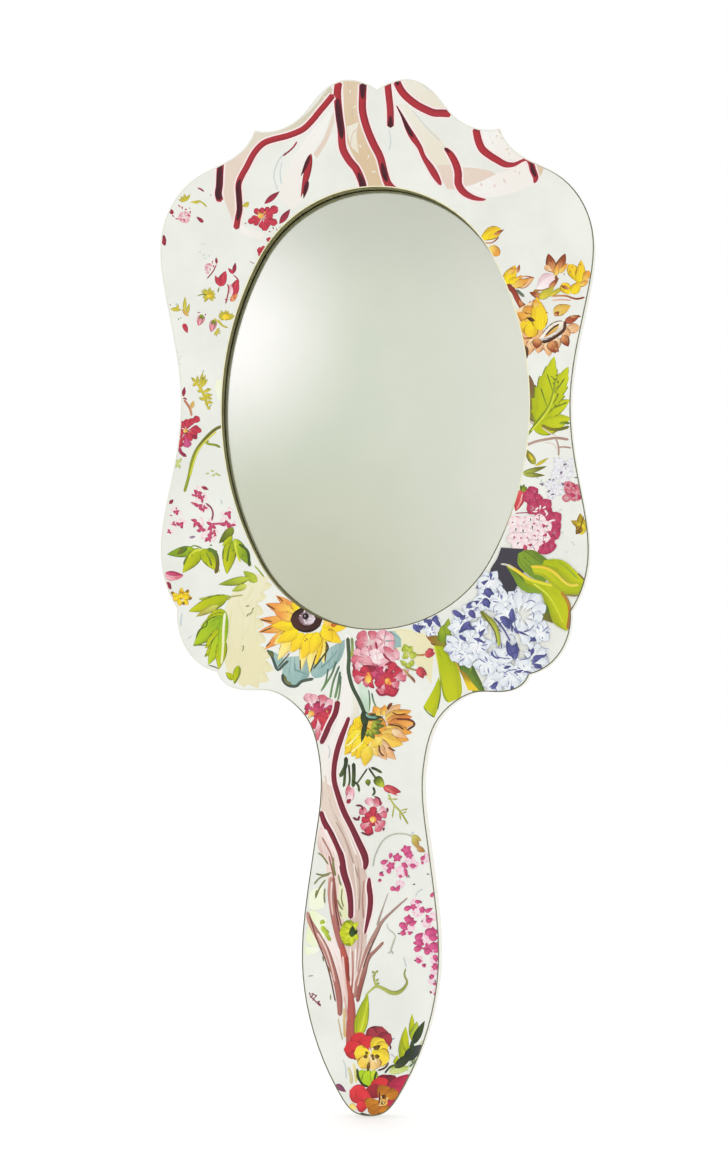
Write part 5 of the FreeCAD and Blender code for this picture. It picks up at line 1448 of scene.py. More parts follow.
    blades(m, None, "spoon", (-1.1, 79.7, -5.8, 80.5, 3.2, PALE_PINK), (-1.1, 78.9, -6.4, 78.1, 3, PINK),
        (-0.7, 79.3, -3.2, 81.7, 3.2, PALE_PINK), (0.9, 78.1, 0.4, 81.7, 3.6, SHELL),
        (1.7, 78.1, 2.5, 80.5, 3.2, SHELL), (4.1, 79.3, 7.8, 80.5, 3.6, PALE_PINK),
        (3.7, 79.7, 4.9, 82.1, 3.4, PINK), (3.3, 78.5, 6.6, 78.9, 2.8, PALE_PINK),
        (-2.7, 76.4, -5.2, 76.8, 3, PALE_PINK), (-1.9, 74.4, -5.9, 74, 3.2, ROSE),
        (-1.9, 73.6, -5.3, 72.4, 2.8, PINK), (-1.1, 74.8, -3.5, 76, 2.4, ROSE),
        (-0.6, 74.4, 0.1, 76.8, 2.4, DEEP_ROSE), (0.2, 72.4, -1, 70.6, 3, ROSE),
        (-0.6, 72.4, -2.6, 71.2, 2.4, PINK), (3.4, 74.8, 3, 77.5, 3, PALE_PINK),
        (3, 74.4, 1.8, 76.4, 2.4, PINK_RED), (4.2, 74.4, 6.6, 77.7, 3.6, ROSE),
        (5.5, 73.6, 8.7, 75.6, 3.8, ROSE), (5.9, 73.2, 9.9, 74, 3.4, PINK), (5.1, 72, 7.7, 70.8, 3.2, PINK),
        (4.3, 71.2, 6.7, 68.3, 3.2, ROSE), (3.5, 71.6, 2.3, 68.3, 3.6, PINK), (3, 72.4, 1, 70.8, 2.8, ROSE),
        (2.6, 73.2, 0.8, 73.6, 2.2, PINK_RED), (3.7, 70.8, 4.5, 68.5, 2, ROSE),
        (8.7, 76, 9.9, 74.4, 2.4, PALE_PINK), notch=0.06)
    strokes(m, ("8E2B3F", "A52C42", "5A2030"),
        ([(1, 69.9), (2.3, 68.3), (4.3, 68.5), (6.3, 68.1), (7.7, 70.4)], 0.6),
        ([(-6, 77.3), (-5.3, 76), (-5.9, 74.4)], 0.6), ([(2.9, 80.5), (4.1, 78.9), (5.4, 78.1)], 0.6),
        ([(9.9, 74.4), (11.6, 73.2), (12.4, 71.8)], 0.6), ([(0.8, 83.8), (1.3, 81.3)], 0.6),
        ([(5.8, 78.1), (3.4, 76.8)], 0.6))
    blades(m, GLOW, "leaf", (-1.2, 71.6, -1.3, 75, 2.1), (3.8, 73, 5.5, 71.2, 1.9))
    disc(m, 4.5, 72.6, 0.8, ("F6C95E", "EE8A4A", "A8402E"))
    specks(m, [(-2.1, 73.6), (-0.4, 72), (-0.2, 74.4), (5.1, 72), (3.4, 73.4), (4.1, 71.2)],
        ("E9684A", "D94A3A", "8A2A24"), 0.4)
    m.build()

    m = Motif("front_neck_buds")
    blades(m, ("C4CE5A", "A9B83A", "5C7A22"), "bud", (9.8, 80.5, 9.3, 83.1, 2.4), (10.2, 80.5, 11.4, 82.5, 2),
        (10.6, 79.7, 12.9, 80.1, 2.2), (10.2, 80.1, 8.6, 78.9, 1.8), (9.4, 78.1, 8.6, 76.8, 2),
        (10.7, 78.1, 11.9, 76.8, 2), (9.9, 77.3, 11.1, 76, 2), (10.4, 81.7, 9, 81.7, 1.4))
    stroke(m, [(7.8, 78.5), (9.9, 76.4), (12.3, 75.6), (13.1, 75.4)], ("A9B04A", "9A8A4A", "5A5A2A"), 0.5)
    stroke(m, [(12.2, 79.9), (14.3, 79.9), (15.5, 80.1)], ("A9984A", "B0683A", "7A4A2A"), 0.5)
    stroke(m, [(8.7, 76), (10.7, 74), (12.4, 72)], ("B9A04A", "8A5A3A", "5A3A28"), 0.6)
    blades(m, BUD_RED, "bud", (15.1, 80.1, 18.1, 80.5, 2.2), (15.9, 80.9, 17.7, 81.5, 1.6),
        (12.7, 75.8, 15.8, 74.2, 2.6), (13.5, 75.2, 14.8, 73.2, 1.6))
    m.build()

    m = Motif("front_chrysanthemum")
    disc(m, -0.1, 58.6, 4.6, AMBER)
    disc(m, -2.5, 56.1, 3.2, YOLK)
    for ax, az, bx, bz, w, inks in ((2.3, 62.2, 0.3, 65.1, 3, AMBER), (3.5, 62.2, 3.5, 65.5, 2.8, AMBER),
            (4, 61.8, 8.4, 65.5, 3.4, PEACH), (3.6, 61.4, 11.5, 63.7, 3.4, AMBER),
            (4, 60.6, 11.7, 62, 3.2, ("E9A85A", "D98238", "8A4A22")),
            (4.4, 59.8, 12.5, 60.2, 3.6, ("E08A42", "EDA850", "8A4A22")), (4, 59, 11.7, 57.4, 3.6, AMBER),
            (2.8, 57.4, 10.9, 55.7, 4, AMBER), (2, 56.1, 8.9, 53.7, 4.2, ("F3CF5A", "EEC04A", "A8702A")),
            (0.4, 55.7, 7.3, 50, 3.8, PEACH), (0.4, 54.9, 4.5, 49.6, 3.4, PEACH),
            (-0.4, 54.9, 1.6, 50.5, 3.2, ("F3DA8A", "EECB6A", "A8702A")), (5.6, 58.2, 10.1, 56.1, 2.6, PEACH),
            (-2.5, 61.4, -4.2, 61.8, 2, YOLK), (-2.9, 61.4, -5.8, 58.2, 3.4, YOLK),
            (-3.3, 59.8, -7, 55.7, 3.8, YOLK), (-3.3, 58.2, -8.3, 52.9, 3.6, ("F5DE3A", "EBD02E", "A8902A")),
            (-3.3, 56.5, -8.1, 50.9, 3.4, YOLK),
            (-2.5, 55.7, -6.1, 50.5, 3.8, ("F5DE3A", "EBC82E", "A8902A")),
            (-1.7, 54.1, -4.5, 49.6, 3.2, YOLK),
            (-1.2, 53.7, -1.8, 47.6, 3.8, ("F3D64A", "E9C23A", "A8902A")), (-3.8, 61.8, -4.5, 58.2, 3, YOLK),
            (2.8, 55.7, -0.4, 53.3, 3.2, ("F3DA6A", "EECB4A", "B08A2A"))):
        blade(m, ax, az, bx, bz, w, inks, "leaf", bend=draw.uniform(-0.06, 0.06), look=(0.12, 0.5, 0.35, 0))
    strokes(m, ("7A3E20", "5A2E1C", "3A1E14"), ([(5.9, 66.1), (4.9, 65.1), (4.5, 63.9)], 0.9),
        ([(5.6, 63.4), (7.6, 62.6), (10, 63)], 0.4),
        ([(6.8, 61.4), (10.9, 61.2), (12.3, 59.8), (10.1, 58.2)], 0.6),
        ([(4.4, 59.8), (7.6, 59.4), (9.3, 58.2)], 0.5), ([(2, 54.1), (2.4, 51.7), (3.7, 50.5)], 0.5),
        ([(4.4, 53.3), (6.9, 52.1)], 0.5))
    strokes(m, ("FBF3B0", "F6EA8A", "C9B04A"), ([(-7.7, 53.3), (-5.7, 54.9), (-3.7, 57.4)], 0.5),
        ([(-6.1, 51.7), (-4.1, 53.3), (-2.5, 54.9)], 0.5))
    blades(m, ("2E3A26", "3A4A2A", "1E2818"), "leaf", (-2.4, 63.9, -1.9, 58.2, 2.4),
        (-2.1, 61.4, 3.3, 62, 1.6), (-1.9, 60.2, -3.1, 54.5, 1.5), (-0.9, 61.4, 1.1, 63, 1.4))
    blades(m, ("B4BE3A", "5C6E2E", "2A3418"), "leaf", (-0.1, 59.8, 3.2, 61, 1.6), (-0.5, 59, 3.8, 59.4, 1.7),
        (-0.5, 58.2, 2.8, 57.2, 1.7), (-1.1, 58.2, 0.8, 55.5, 1.7), (-1.5, 57.8, -1.3, 56.1, 1.2),
        (0.3, 60.2, 2, 58.2, 1.4), look=(0.2, 0.6, 0.4, 0))
    stroke(m, [(-1.9, 63), (-0.9, 62), (1.5, 61.8)], ("7FB09A", "6E9A8A", "3E5A50"), 0.7)
    m.build()


def handle_stripes():
    """The crimson edges of the ribbon that runs down the neck, as one piece."""
    m = Motif("front_handle_edges")
    rows = [(-10, 66.7, 1.6), (-10.7, 63, 1.6), (-12.3, 59.8, 1.5), (-13.7, 56.5, 1.6), (-14.9, 53.9, 1.2)]
    stripe(m, rows, 1.5, inks=MAROON)
    rows = [(-6.7, 62, 1), (-7.6, 59.4, 1.3), (-9, 55.7, 1.6), (-10.2, 51.7, 1.6), (-10.9, 47.6, 1.5),
        (-10.9, 43.6, 1.5), (-9.8, 39.5, 1.6), (-8, 34.6, 1.7), (-5.5, 29.7, 1.7), (-3.4, 25.3, 1.9),
        (-2, 22.3, 2), (-1.5, 19.9, 1.7), (-1.9, 17.7, 0.9)]
    stripe(m, rows, 1.5, inks=MAROON)
    rows = [(-14.7, 34.8, 1.2), (-13.8, 31.8, 1.6), (-11.8, 28.1, 1.9), (-9.9, 24.1, 1.9), (-8.7, 21.5, 1.9),
        (-7.9, 17, 2), (-6.4, 12.2, 1.8), (-5.8, 7.7, 1.6), (-5.8, 3.6, 1.5)]
    stripe(m, rows, 1.6, inks=MAROON)
    rows = [(-0.5, 15.8, 0.7), (-0.5, 13, 1.5), (-0.1, 9.7, 1.6), (-0.3, 6.1, 1.5), (-1.1, 2, 1),
        (-1.7, -0.8, 0.6)]
    stripe(m, rows, 1.5, inks=MAROON)
    m.build()


def handle_blooms():
    """The pink flower, the twig and the magenta florets on the right of the handle."""
    m = Motif("front_handle_pink_flower")
    disc(m, 0.4, 32.8, 2.4, ROSE)
    blades(m, None, "spoon", (0.1, 35.4, -1.1, 38.7, 2.6, PALE_PINK), (0.5, 35.4, 2.3, 38.3, 3, PINK),
        (-0.3, 33.4, -3.5, 35.4, 2.6, PINK), (1.4, 34.2, 4.2, 35.4, 2.6, PALE_PINK),
        (1.4, 33.4, 4.6, 34, 2.4, PINK), (-0.2, 32.6, -2.9, 31.8, 2.4, ROSE),
        (-0.2, 31.8, -2.9, 29.5, 2.8, PINK), (0.2, 31.4, -1, 27.9, 2.8, ROSE),
        (1, 31.8, 2.6, 28.9, 2.6, PINK), (1.4, 32.2, 3.9, 30.6, 2.6, PINK), (0.6, 33, 0.5, 36.2, 2.2, ROSE),
        (0.2, 32.6, -1.7, 34.2, 2, ROSE), (0.6, 32.2, 3, 33.2, 1.8, PINK_RED), notch=0.08)
    disc(m, 0.5, 32.4, 1, GLOW)
    blade(m, 0.2, 31.4, 0.8, 33.2, 0.8, ("F9E69A", "F6C95E", "C0703A"), "leaf")
    strokes(m, ("6A2A3A", "7A2A3E", "4A1C28"), ([(-4.7, 36.4), (-2.9, 36.2), (-2.5, 34.8)], 0.6),
        ([(-5.5, 33), (-3.9, 32.2), (-3.5, 33.6)], 0.7), ([(0.5, 39.1), (2.3, 38.3), (2.6, 36.2)], 0.5),
        ([(4.2, 35.2), (4.8, 35.8), (4.4, 34.2)], 0.6), ([(3.8, 30.2), (3.4, 29.1)], 0.6),
        ([(-3.1, 28.7), (-0.8, 27.9), (0.6, 28.7)], 0.6))
    twig = ("B9BC5A", "A0A24A", "6A6C30")
    stroke(m, [(4.8, 39.9), (6.2, 37.1), (8.3, 34.8), (9.5, 33), (10.7, 31)], twig, 0.55)
    for ax, az, bx, bz in ((5.6, 38.3, 7.8, 38.3), (6.6, 36.6, 6, 32.8), (8.3, 35, 10.7, 35.6),
            (8.1, 34.8, 8.5, 32.2), (5.8, 38.1, 4.6, 38.5), (8.9, 34.2, 10.3, 34.8)):
        stroke(m, [(ax, az), (bx, bz)], twig, 0.4)
    stroke(m, [(0.5, 18.7), (1.3, 22.3), (3.5, 26.4), (6.7, 28.2), (10.4, 28.2), (12.4, 27.2)],
        ("A9AFA0", "B9BCA4", "8A9080"), 0.4)
    blades(m, None, "leaf", (11.6, 27.8, 14.6, 26.4, 1.7, ("CFC76A", "B9A04A", "8A7A3A")),
        (12, 27.2, 14, 23.9, 1.8, ("C9B85A", "B08A4A", "7A5A2E")),
        (13.2, 24.4, 15.7, 23.3, 1.7, ("C99A5A", "A8783A", "7A4A2A")))
    stroke(m, [(11.2, 28.2), (12.6, 29)], GREY, 0.4)
    m.build()

    m = Motif("front_magenta_florets")
    rose = ("DA5E8E", "C24476", "8A2C54")
    haze = ("F6DDE6", "F0CCD9", "D98AA8")
    for x, z, r in ((11.2, 20.7, 1.7), (8.8, 17.4, 1.7), (8.4, 13.8, 1.4), (12.4, 19.5, 1.4),
            (16.1, 21.5, 1.4), (4.7, 18.7, 1.4), (13.7, 6.1, 1.7), (11.3, 1.2, 1.6), (16.1, 2.8, 1.6),
            (15.7, -2, 1.7), (18.1, 4.5, 1.4), (17.4, -4.5, 1.6), (18.6, -7.7, 1.4), (14.1, -7.7, 1.3),
            (18.6, -11, 1.3), (18, -13.8, 1.2), (19, -16.7, 1.1), (12.9, 8.5, 1.4), (19.4, -0.4, 1.4)):
        blossom(m, x, z, r, 5, haze, None, turn=draw.uniform(0, 90), wide=0.7)
    for x, z, r, turn in ((10.2, 23.7, 1.7, 45), (7.6, 21.5, 1.5, 10), (5.7, 19.1, 1.4, 30),
            (11.2, 22.3, 1.2, 70), (11.2, 3.6, 1.6, 20), (14.1, -2.9, 1.7, 50), (18, 0, 1.8, 10),
            (16.7, -4.5, 1.6, 30), (19, -3.7, 1.5, 60), (9.8, 1.4, 1.2, 40), (14.9, 6.5, 1.1, 15),
            (18.6, -9.8, 1.1, 30), (12.3, 7.3, 1.1, 60)):
        blossom(m, x, z, r, 5, rose, None, turn=turn, wide=0.6, shape="leaf", look=(0.1, 0.4, 0.4, 0))
    for ax, az, bx, bz, w in ((2.7, 19.9, 5.1, 20.3, 1.4), (5.7, 22.9, 5.7, 21.1, 1.1),
            (2.3, 17, 3.9, 16.4, 1.3), (2.1, 15, 3.1, 14.6, 1.2), (4.7, 17, 5.9, 18.3, 1.4),
            (8.8, 19.9, 10.8, 18.7, 1.4), (11.2, 19.1, 13.2, 19.5, 1.3), (14.5, 20.7, 15.5, 22.3, 1.2),
            (14.5, 19.9, 15.3, 20.3, 1), (5.7, 13, 7.2, 11.8, 1.5), (7.2, 11.8, 8.8, 13.4, 1.3),
            (8, 16, 9.2, 16.2, 1), (9.6, 18.7, 11, 15.8, 1), (9.6, 6.5, 12.1, 7.5, 1.5),
            (12.7, 8.9, 14.9, 8.7, 1.1), (9.6, 4, 12.9, 3.6, 1.9), (8.2, 1.8, 10.4, 2.8, 1.6),
            (11.2, 2, 13.3, 3.6, 1.4), (8.6, 0, 10.4, -0.4, 1.6), (10.8, -0.4, 12.1, 0, 1.1),
            (14.5, 7.3, 15.7, 6.1, 1.4), (15.7, 6.1, 18.1, 6.7, 1.3), (15.9, 3.2, 18.1, 4, 1.6),
            (17.5, 10.1, 17.9, 11.8, 1.1), (12.9, -2, 15.3, 0, 1.9), (13.3, -2.4, 15.3, -3.7, 2),
            (15.7, -0.4, 19, 1.2, 2.4), (16.9, -1.6, 19.6, -0.8, 2.2), (12.5, -4.9, 15.3, -4.5, 1.8),
            (15.7, -6.1, 17.6, -4.5, 1.8), (16.9, -3.7, 19.8, -4.1, 2.2), (18.6, -4.5, 19.8, -5.7, 2),
            (13.1, -8.1, 14.9, -7.7, 1.7), (15.1, -9.8, 16.1, -8.9, 1.3), (18.2, -9.8, 19.8, -9.4, 2),
            (17, -12.6, 18.6, -12.8, 1.5), (18.4, -15, 19, -14.2, 1), (17.4, -17.3, 17.8, -16.7, 0.9),
            (18.6, -17.1, 19.2, -18.3, 1), (18.6, -6.1, 19, -8.5, 1.5), (15.9, 4.5, 16.9, 4.9, 1.2)):
        blade(m, ax, az, bx, bz, w, rose, "leaf", bend=draw.uniform(-0.25, 0.25), look=(0.1, 0.6, 0.5, 0))
    specks(m, [(2.7, 16.8), (2.6, 14.6), (8.8, -0.4), (11.7, -0.4), (13.3, -8.3), (15.3, -9.6), (19, -9.8),
        (17.4, -13), (18.8, -14.6), (19, 4), (14.5, 3), (14.9, 8.5), (17.1, 16.8), (12, 13.8), (11.2, 15.6),
        (17.4, -17.5)], ("4A3A48", "5A4A58", "3A2A38"), 0.4)
    m.build()


def handle_branches():
    """The branches that rise from the pansies."""
    m = Motif("front_handle_branches")
    bark = ("C08C80", "A9665E", "6E4038")
    red_bark = ("B5574C", "B0564E", "7A3A34")
    patch(m, [(-17.8, 5.3), (-16.8, 6.1), (-12.7, 3.6)], [(-18.8, -2.9), (-16.4, -4.5), (-13.5, -3.3)],
        ("E6EFC4", "EDF2D6", "D5E0A8"))
    patch(m, [(-17.8, 11), (-16.4, 12.2), (-13.9, 13)], [(-18, 6.9), (-16.4, 6.1), (-13.5, 6.9)],
        ("EEF3D9", "EDF2D6", "D5E0A8"))
    patch(m, [(-19.2, -3.7), (-18.4, -4.5), (-15.5, -4.5)], [(-18.8, -6.9), (-16.3, -6.5), (-14.7, -5.3)],
        ("EAF2D0", "F0F4E0", "D5E0A8"))
    patch(m, [(-9.1, 14.6), (-9.5, 9.3), (-8.7, 3.6)], [(-7.9, 13), (-7, 8.5), (-6.4, 3.6)],
        ("E4E6C0", "DDE0B4", "B9BC7A"))
    strokes(m, ("8A8A5A", "7A7A4A", "4A4A30"), ([(-15.6, 22.7), (-14, 21.5), (-12.3, 19.1)], 0.5),
        ([(-11.3, 17), (-14, 16.2), (-16.2, 16.6)], 0.5),
        ([(-11.9, 16.4), (-14.8, 15.4), (-16.6, 13.4)], 0.45),
        ([(-11.1, 21.5), (-10.9, 18.7), (-10.3, 15.8)], 0.7),
        ([(-13.1, 15), (-14.8, 12.6), (-16.2, 9.3)], 0.5),
        ([(-13.3, 12.6), (-13.5, 10.1), (-13.3, 7.9)], 0.5), ([(-15.6, 12.2), (-16.2, 9.9)], 0.4),
        ([(-9.5, 16.6), (-9.1, 14.6), (-8.5, 13)], 0.5), ([(-9.7, 9.3), (-9.1, 7.7), (-8, 6.1)], 0.5),
        ([(-9.1, 6.1), (-8.4, 4)], 0.4), ([(-8.3, 12.6), (-8.5, 9.3), (-7.8, 6.9)], 0.4),
        ([(-13.9, -6.9), (-13.5, -8.9)], 0.4), ([(-12.7, -9.4), (-11.9, -11), (-11.5, -11.8)], 0.4),
        ([(-18.2, -13), (-16.3, -12.8)], 0.3), ([(-11.5, -17.9), (-11.4, -19.9)], 0.4))
    strokes(m, ("B9CC4A", "9AB02E", "5C7A22"), ([(-14.7, 2), (-13.9, 2.8), (-13.1, 2.4)], 1.3),
        ([(-14.3, 1.6), (-13.1, 0), (-11.9, -0.4)], 1.4), ([(-13.5, 0.4), (-12.3, -1.6), (-11.5, -2.9)], 1.1))
    stroke(m, [(-18.4, 5.7, 0.8), (-17.6, 2.8, 1.5), (-15.1, -1.6, 2), (-12.7, -5.7, 1.9),
        (-10.9, -10.6, 1.8), (-9.5, -15.8, 1.8), (-8.8, -20.3, 1.7), (-8.7, -24.4, 1.2)], bark, 2,
        ends=(0.4, 0.8), look=(0, 0.8, 0.6, 0))
    stroke(m, [(-15.5, -0.4), (-13.1, -4.5), (-11.3, -9.8), (-10.2, -14.6)], WARM_BARK, 0.5)
    stroke(m, [(-11.5, 15.8, 1.4), (-11.6, 11, 1.9), (-10.9, 6.1, 2), (-9.9, 1.2, 2), (-8.8, -2.9, 1.9),
        (-8, -5.3, 1.8)], bark, 2, ends=(0.8, 0.3), look=(0, 0.8, 0.6, 0))
    stroke(m, [(-10.7, 15.8), (-10.5, 11), (-10.1, 6.1), (-9.1, 1.2)], ("8A4A40", "7A4038", "4A2822"), 0.5)
    stroke(m, [(-11.3, 14.6), (-11.5, 9.3), (-10.9, 4.5)], ("EBD6CE", "E0C0B6", "B9968A"), 0.5)
    stroke(m, [(10.8, 10.1, 0.4), (7.2, 6.9, 0.6), (3.5, 3.2, 0.9), (1.5, -0.4, 1.4), (-0.1, -3.7, 1.6),
        (-1.3, -6.9, 1.6), (-2.5, -11, 1.5), (-3.7, -15, 1.5), (-4.5, -19.1, 1.4)],
        ("A88A7E", "B07A70", "5E4038"), 1, ends=(0.4, 0.3), look=(0, 0.8, 0.6, 0))
    stroke(m, [(5.1, 11.4, 0.3), (3.9, 8.1, 0.4), (2.7, 4.5, 0.6), (1.9, 1.6, 0.8)],
        ("B9ACA2", "A89488", "7A665C"), 0.4, ends=(0.4, 0.3))
    stroke(m, [(3.9, -2.7, 0.8), (1.9, -4.9, 0.9), (-0.1, -6.9, 1.1), (-1.1, -8.9, 1.3), (-1.7, -11.8, 1.3),
        (-2.7, -15.8, 1.2), (-3.7, -20.3, 1.1)], ("A87A70", "98584E", "5E3830"), 1, ends=(0.5, 0.3),
        look=(0, 0.8, 0.6, 0))
    stroke(m, [(0.7, -2.9), (-0.9, -6.5), (-2.5, -11), (-3.7, -15.8)], ("E9D6CC", "DDC0B4", "B9968A"), 0.45)
    stroke(m, [(-8.4, -3.7, 1.4), (-7.4, -7.7, 2), (-6.6, -12.6, 1.7), (-5.8, -17.5, 1.6), (-5.4, -21.5, 2.2),
        (-5.4, -26.4, 2.8), (-5.4, -32.9, 2.9)], red_bark, 2.4, ends=(0.4, 0.2), look=(0, 0.6, 0.4, 0))
    for points, w, inks in (([(-5.2, -5.3), (-5, -10.6), (-5.2, -16.7)], 0.5, bark),
            ([(-3.4, 1.2), (-3.8, -6.1), (-4.5, -13.4)], 0.45, ("C9ACA0", "B98A80", "8A6258")),
            ([(-2.4, 3.6), (-2.6, -4.5), (-3.7, -11.8)], 0.4, ("CDB5A8", "B98A80", "8A6258")),
            ([(-5.8, -4.5), (-5.8, -11), (-5.6, -15.8)], 0.45, PALE_BARK),
            ([(-4.2, -4.5), (-4.4, -11), (-4.9, -17.9)], 0.5, PALE_BARK),
            ([(-8, -6.9), (-7.4, -12.6), (-6.5, -19.1)], 0.5, WARM_BARK),
            ([(-12.3, 21.9), (-10.7, 15), (-9.7, 6.9), (-8.4, 1.2)], 0.45, ("9A5A50", "8A4A40", "5A2E28")),
            ([(-14.4, 27.2), (-11.9, 22.7), (-11.1, 19.9)], 0.5, ("B9867C", "A8766C", "7A4A42")),
            ([(-13.4, 29.6), (-10.3, 23.1), (-9.1, 18.7)], 0.5, PALE_BARK),
            ([(-3.8, 18.7), (-3.2, 12.6), (-3.4, 6.1)], 0.4, DUN),
            ([(-5, 19.9), (-4.2, 12.6), (-3.8, 6.1)], 0.4, ("F0E6DC", "E4D4C8", "C9ACA0")),
            ([(-2, 15), (-2.4, 9.3), (-2, 3.6)], 0.4, ("B98A80", "A87A70", "7A4A42")),
            ([(-17.8, 4.5), (-15.5, -2.4), (-13.1, -8.1), (-11.5, -13.4), (-10, -20.3)], 0.4,
            ("7A4038", "6A3830", "4A2822")),
            ([(1.5, -1.6), (-0.5, -5.7), (-2.1, -10.6)], 0.35, ("6A4A42", "5A3A34", "3A2420"))):
        stroke(m, points, inks, w)
    stroke(m, [(-6.9, -6.9, 1.2), (-6.7, -10.6, 1), (-6.1, -14.6, 0.8)], ("A04238", "8A3A32", "5A2822"), 0.8)
    stroke(m, [(-7.4, -18.3), (-6.9, -22.3), (-6.6, -25.6)], ("E0B4A8", "D0A094", "A8665A"), 0.5)
    stroke(m, [(-7.5, -21.9), (-7.4, -26.4), (-7.2, -30.5)], ("DDBE8A", "D0B070", "A88A4A"), 0.7)
    stroke(m, [(-9.2, -24.8), (-8.6, -28), (-7.8, -31.3)], ("CDBBA0", "BCA888", "8A7A5A"), 0.4)
    stroke(m, [(-6.2, -38.7), (-5.3, -41.7), (-5.2, -43.9)], ("D9CFA8", "C9BE90", "A89A6A"), 1)
    stroke(m, [(-4.7, -37.6), (-4.1, -40.6), (-3.8, -43.5)], ("E6DC9A", "D9CC7A", "A89A5A"), 0.8)
    stroke(m, [(-7.8, -36.5), (-6.9, -39.1), (-6.7, -42.4)], GREY, 0.4)
    lime_knot = ("C4CE1E", "B9C41E", "7A8A1C")
    petal(m, -9, -0.4, 0, 5.3, 7.6, lime_knot, "disc", look=(0.25, 0.7, 0.4, 0))
    blades(m, None, "leaf", (-5.8, 1.2, -7.4, 2.4, 1.5, KNOT_GREEN), (-5.8, 0.4, -8.4, -0.4, 1.5, KNOT_GREEN),
        (-5.8, -0.8, -7.8, -2.9, 1.5, KNOT_GREEN), (-5.4, -1.2, -5.4, -4.1, 1.6, KNOT_GREEN),
        (-4.8, -0.4, -3.6, -2.4, 1.4, KNOT_GREEN), (-5, 1.2, -3.6, 2.8, 1.4, KNOT_GREEN),
        (-5.4, -1.6, -5.1, 1.8, 1.9, ("3E5A1E", "2A3A18", "1E2814")),
        (-4.8, -0.8, -3.8, 0.6, 1.1, ("2A3A18", "1E2814", "1E2814")))
    specks(m, [(-17.1, -18.7), (-16.1, -19.3), (-16.7, -20.1), (-15.7, -18.5), (-15.5, -20.3), (-17.3, -19.3),
        (-14.7, -21.1), (-14.3, -21.7)], ("8E4A5E", "7A3A4E", "5A2A3A"), 0.5)
    stroke(m, [(-17.7, -18.5), (-16.5, -19.5), (-14.3, -21.7)], ("9A5A6A", "8E4A5E", "5A2A3A"), 0.4)
    m.build()

    m = Motif("front_lime_vine")
    blade(m, -3.3, -30.5, -1.3, -17.7, 3.9, ("B9C41E", "A4B41E", "6E7E1C"), "leaf", bend=-0.05)
    stroke(m, [(-2.8, -28.8), (-1.5, -24), (-0.7, -19.5)], ("D5DC3A", "C4CE2A", "8A9A1C"), 0.6)
    vine = ("B4BC5A", "8E9444", "55552A")
    stroke(m, [(-1.5, -18.5, 0.5), (0.3, -16.7, 0.5), (1.9, -15.6, 0.8), (4, -16.3, 1), (6, -17.3, 1.2),
        (8, -17.3, 1.2), (9.7, -16.1, 0.9), (10.7, -14.2, 0.6), (9.9, -12.2, 0.5), (10.3, -10.2, 0.4)], vine,
        0.9)
    stroke(m, [(1.7, -15.6), (1.1, -13.4), (1.5, -11.4)], vine, 0.5)
    for ax, az, bx, bz in ((1.3, -12, 0.5, -11.2), (1.5, -11.8, 2.3, -11), (1.6, -14.2, 2.5, -13.4),
            (1.5, -15, 2.8, -14.6), (1.2, -13, 0.7, -12.4)):
        blade(m, ax, az, bx, bz, 0.7, vine)
    strokes(m, ("B9BCA4", "A9AFA0", "8A9080"), ([(7.2, -1.2), (6.4, -3.7), (6, -5.3), (6.8, -6.3)], 0.5),
        ([(6, -5.5), (5, -6.1)], 0.5))
    stroke(m, [(4.8, 2.8), (5, 1.2), (6.8, -0.4), (7.4, -1.6)], ("C9CDC0", "B9BCA4", "8A9080"), 0.35)
    strokes(m, GREY, ([(9.6, -6.9), (10.5, -10.2)], 0.4), ([(12.9, 10.1), (13.7, 11.8), (15.3, 12.6)], 0.4))
    m.build()


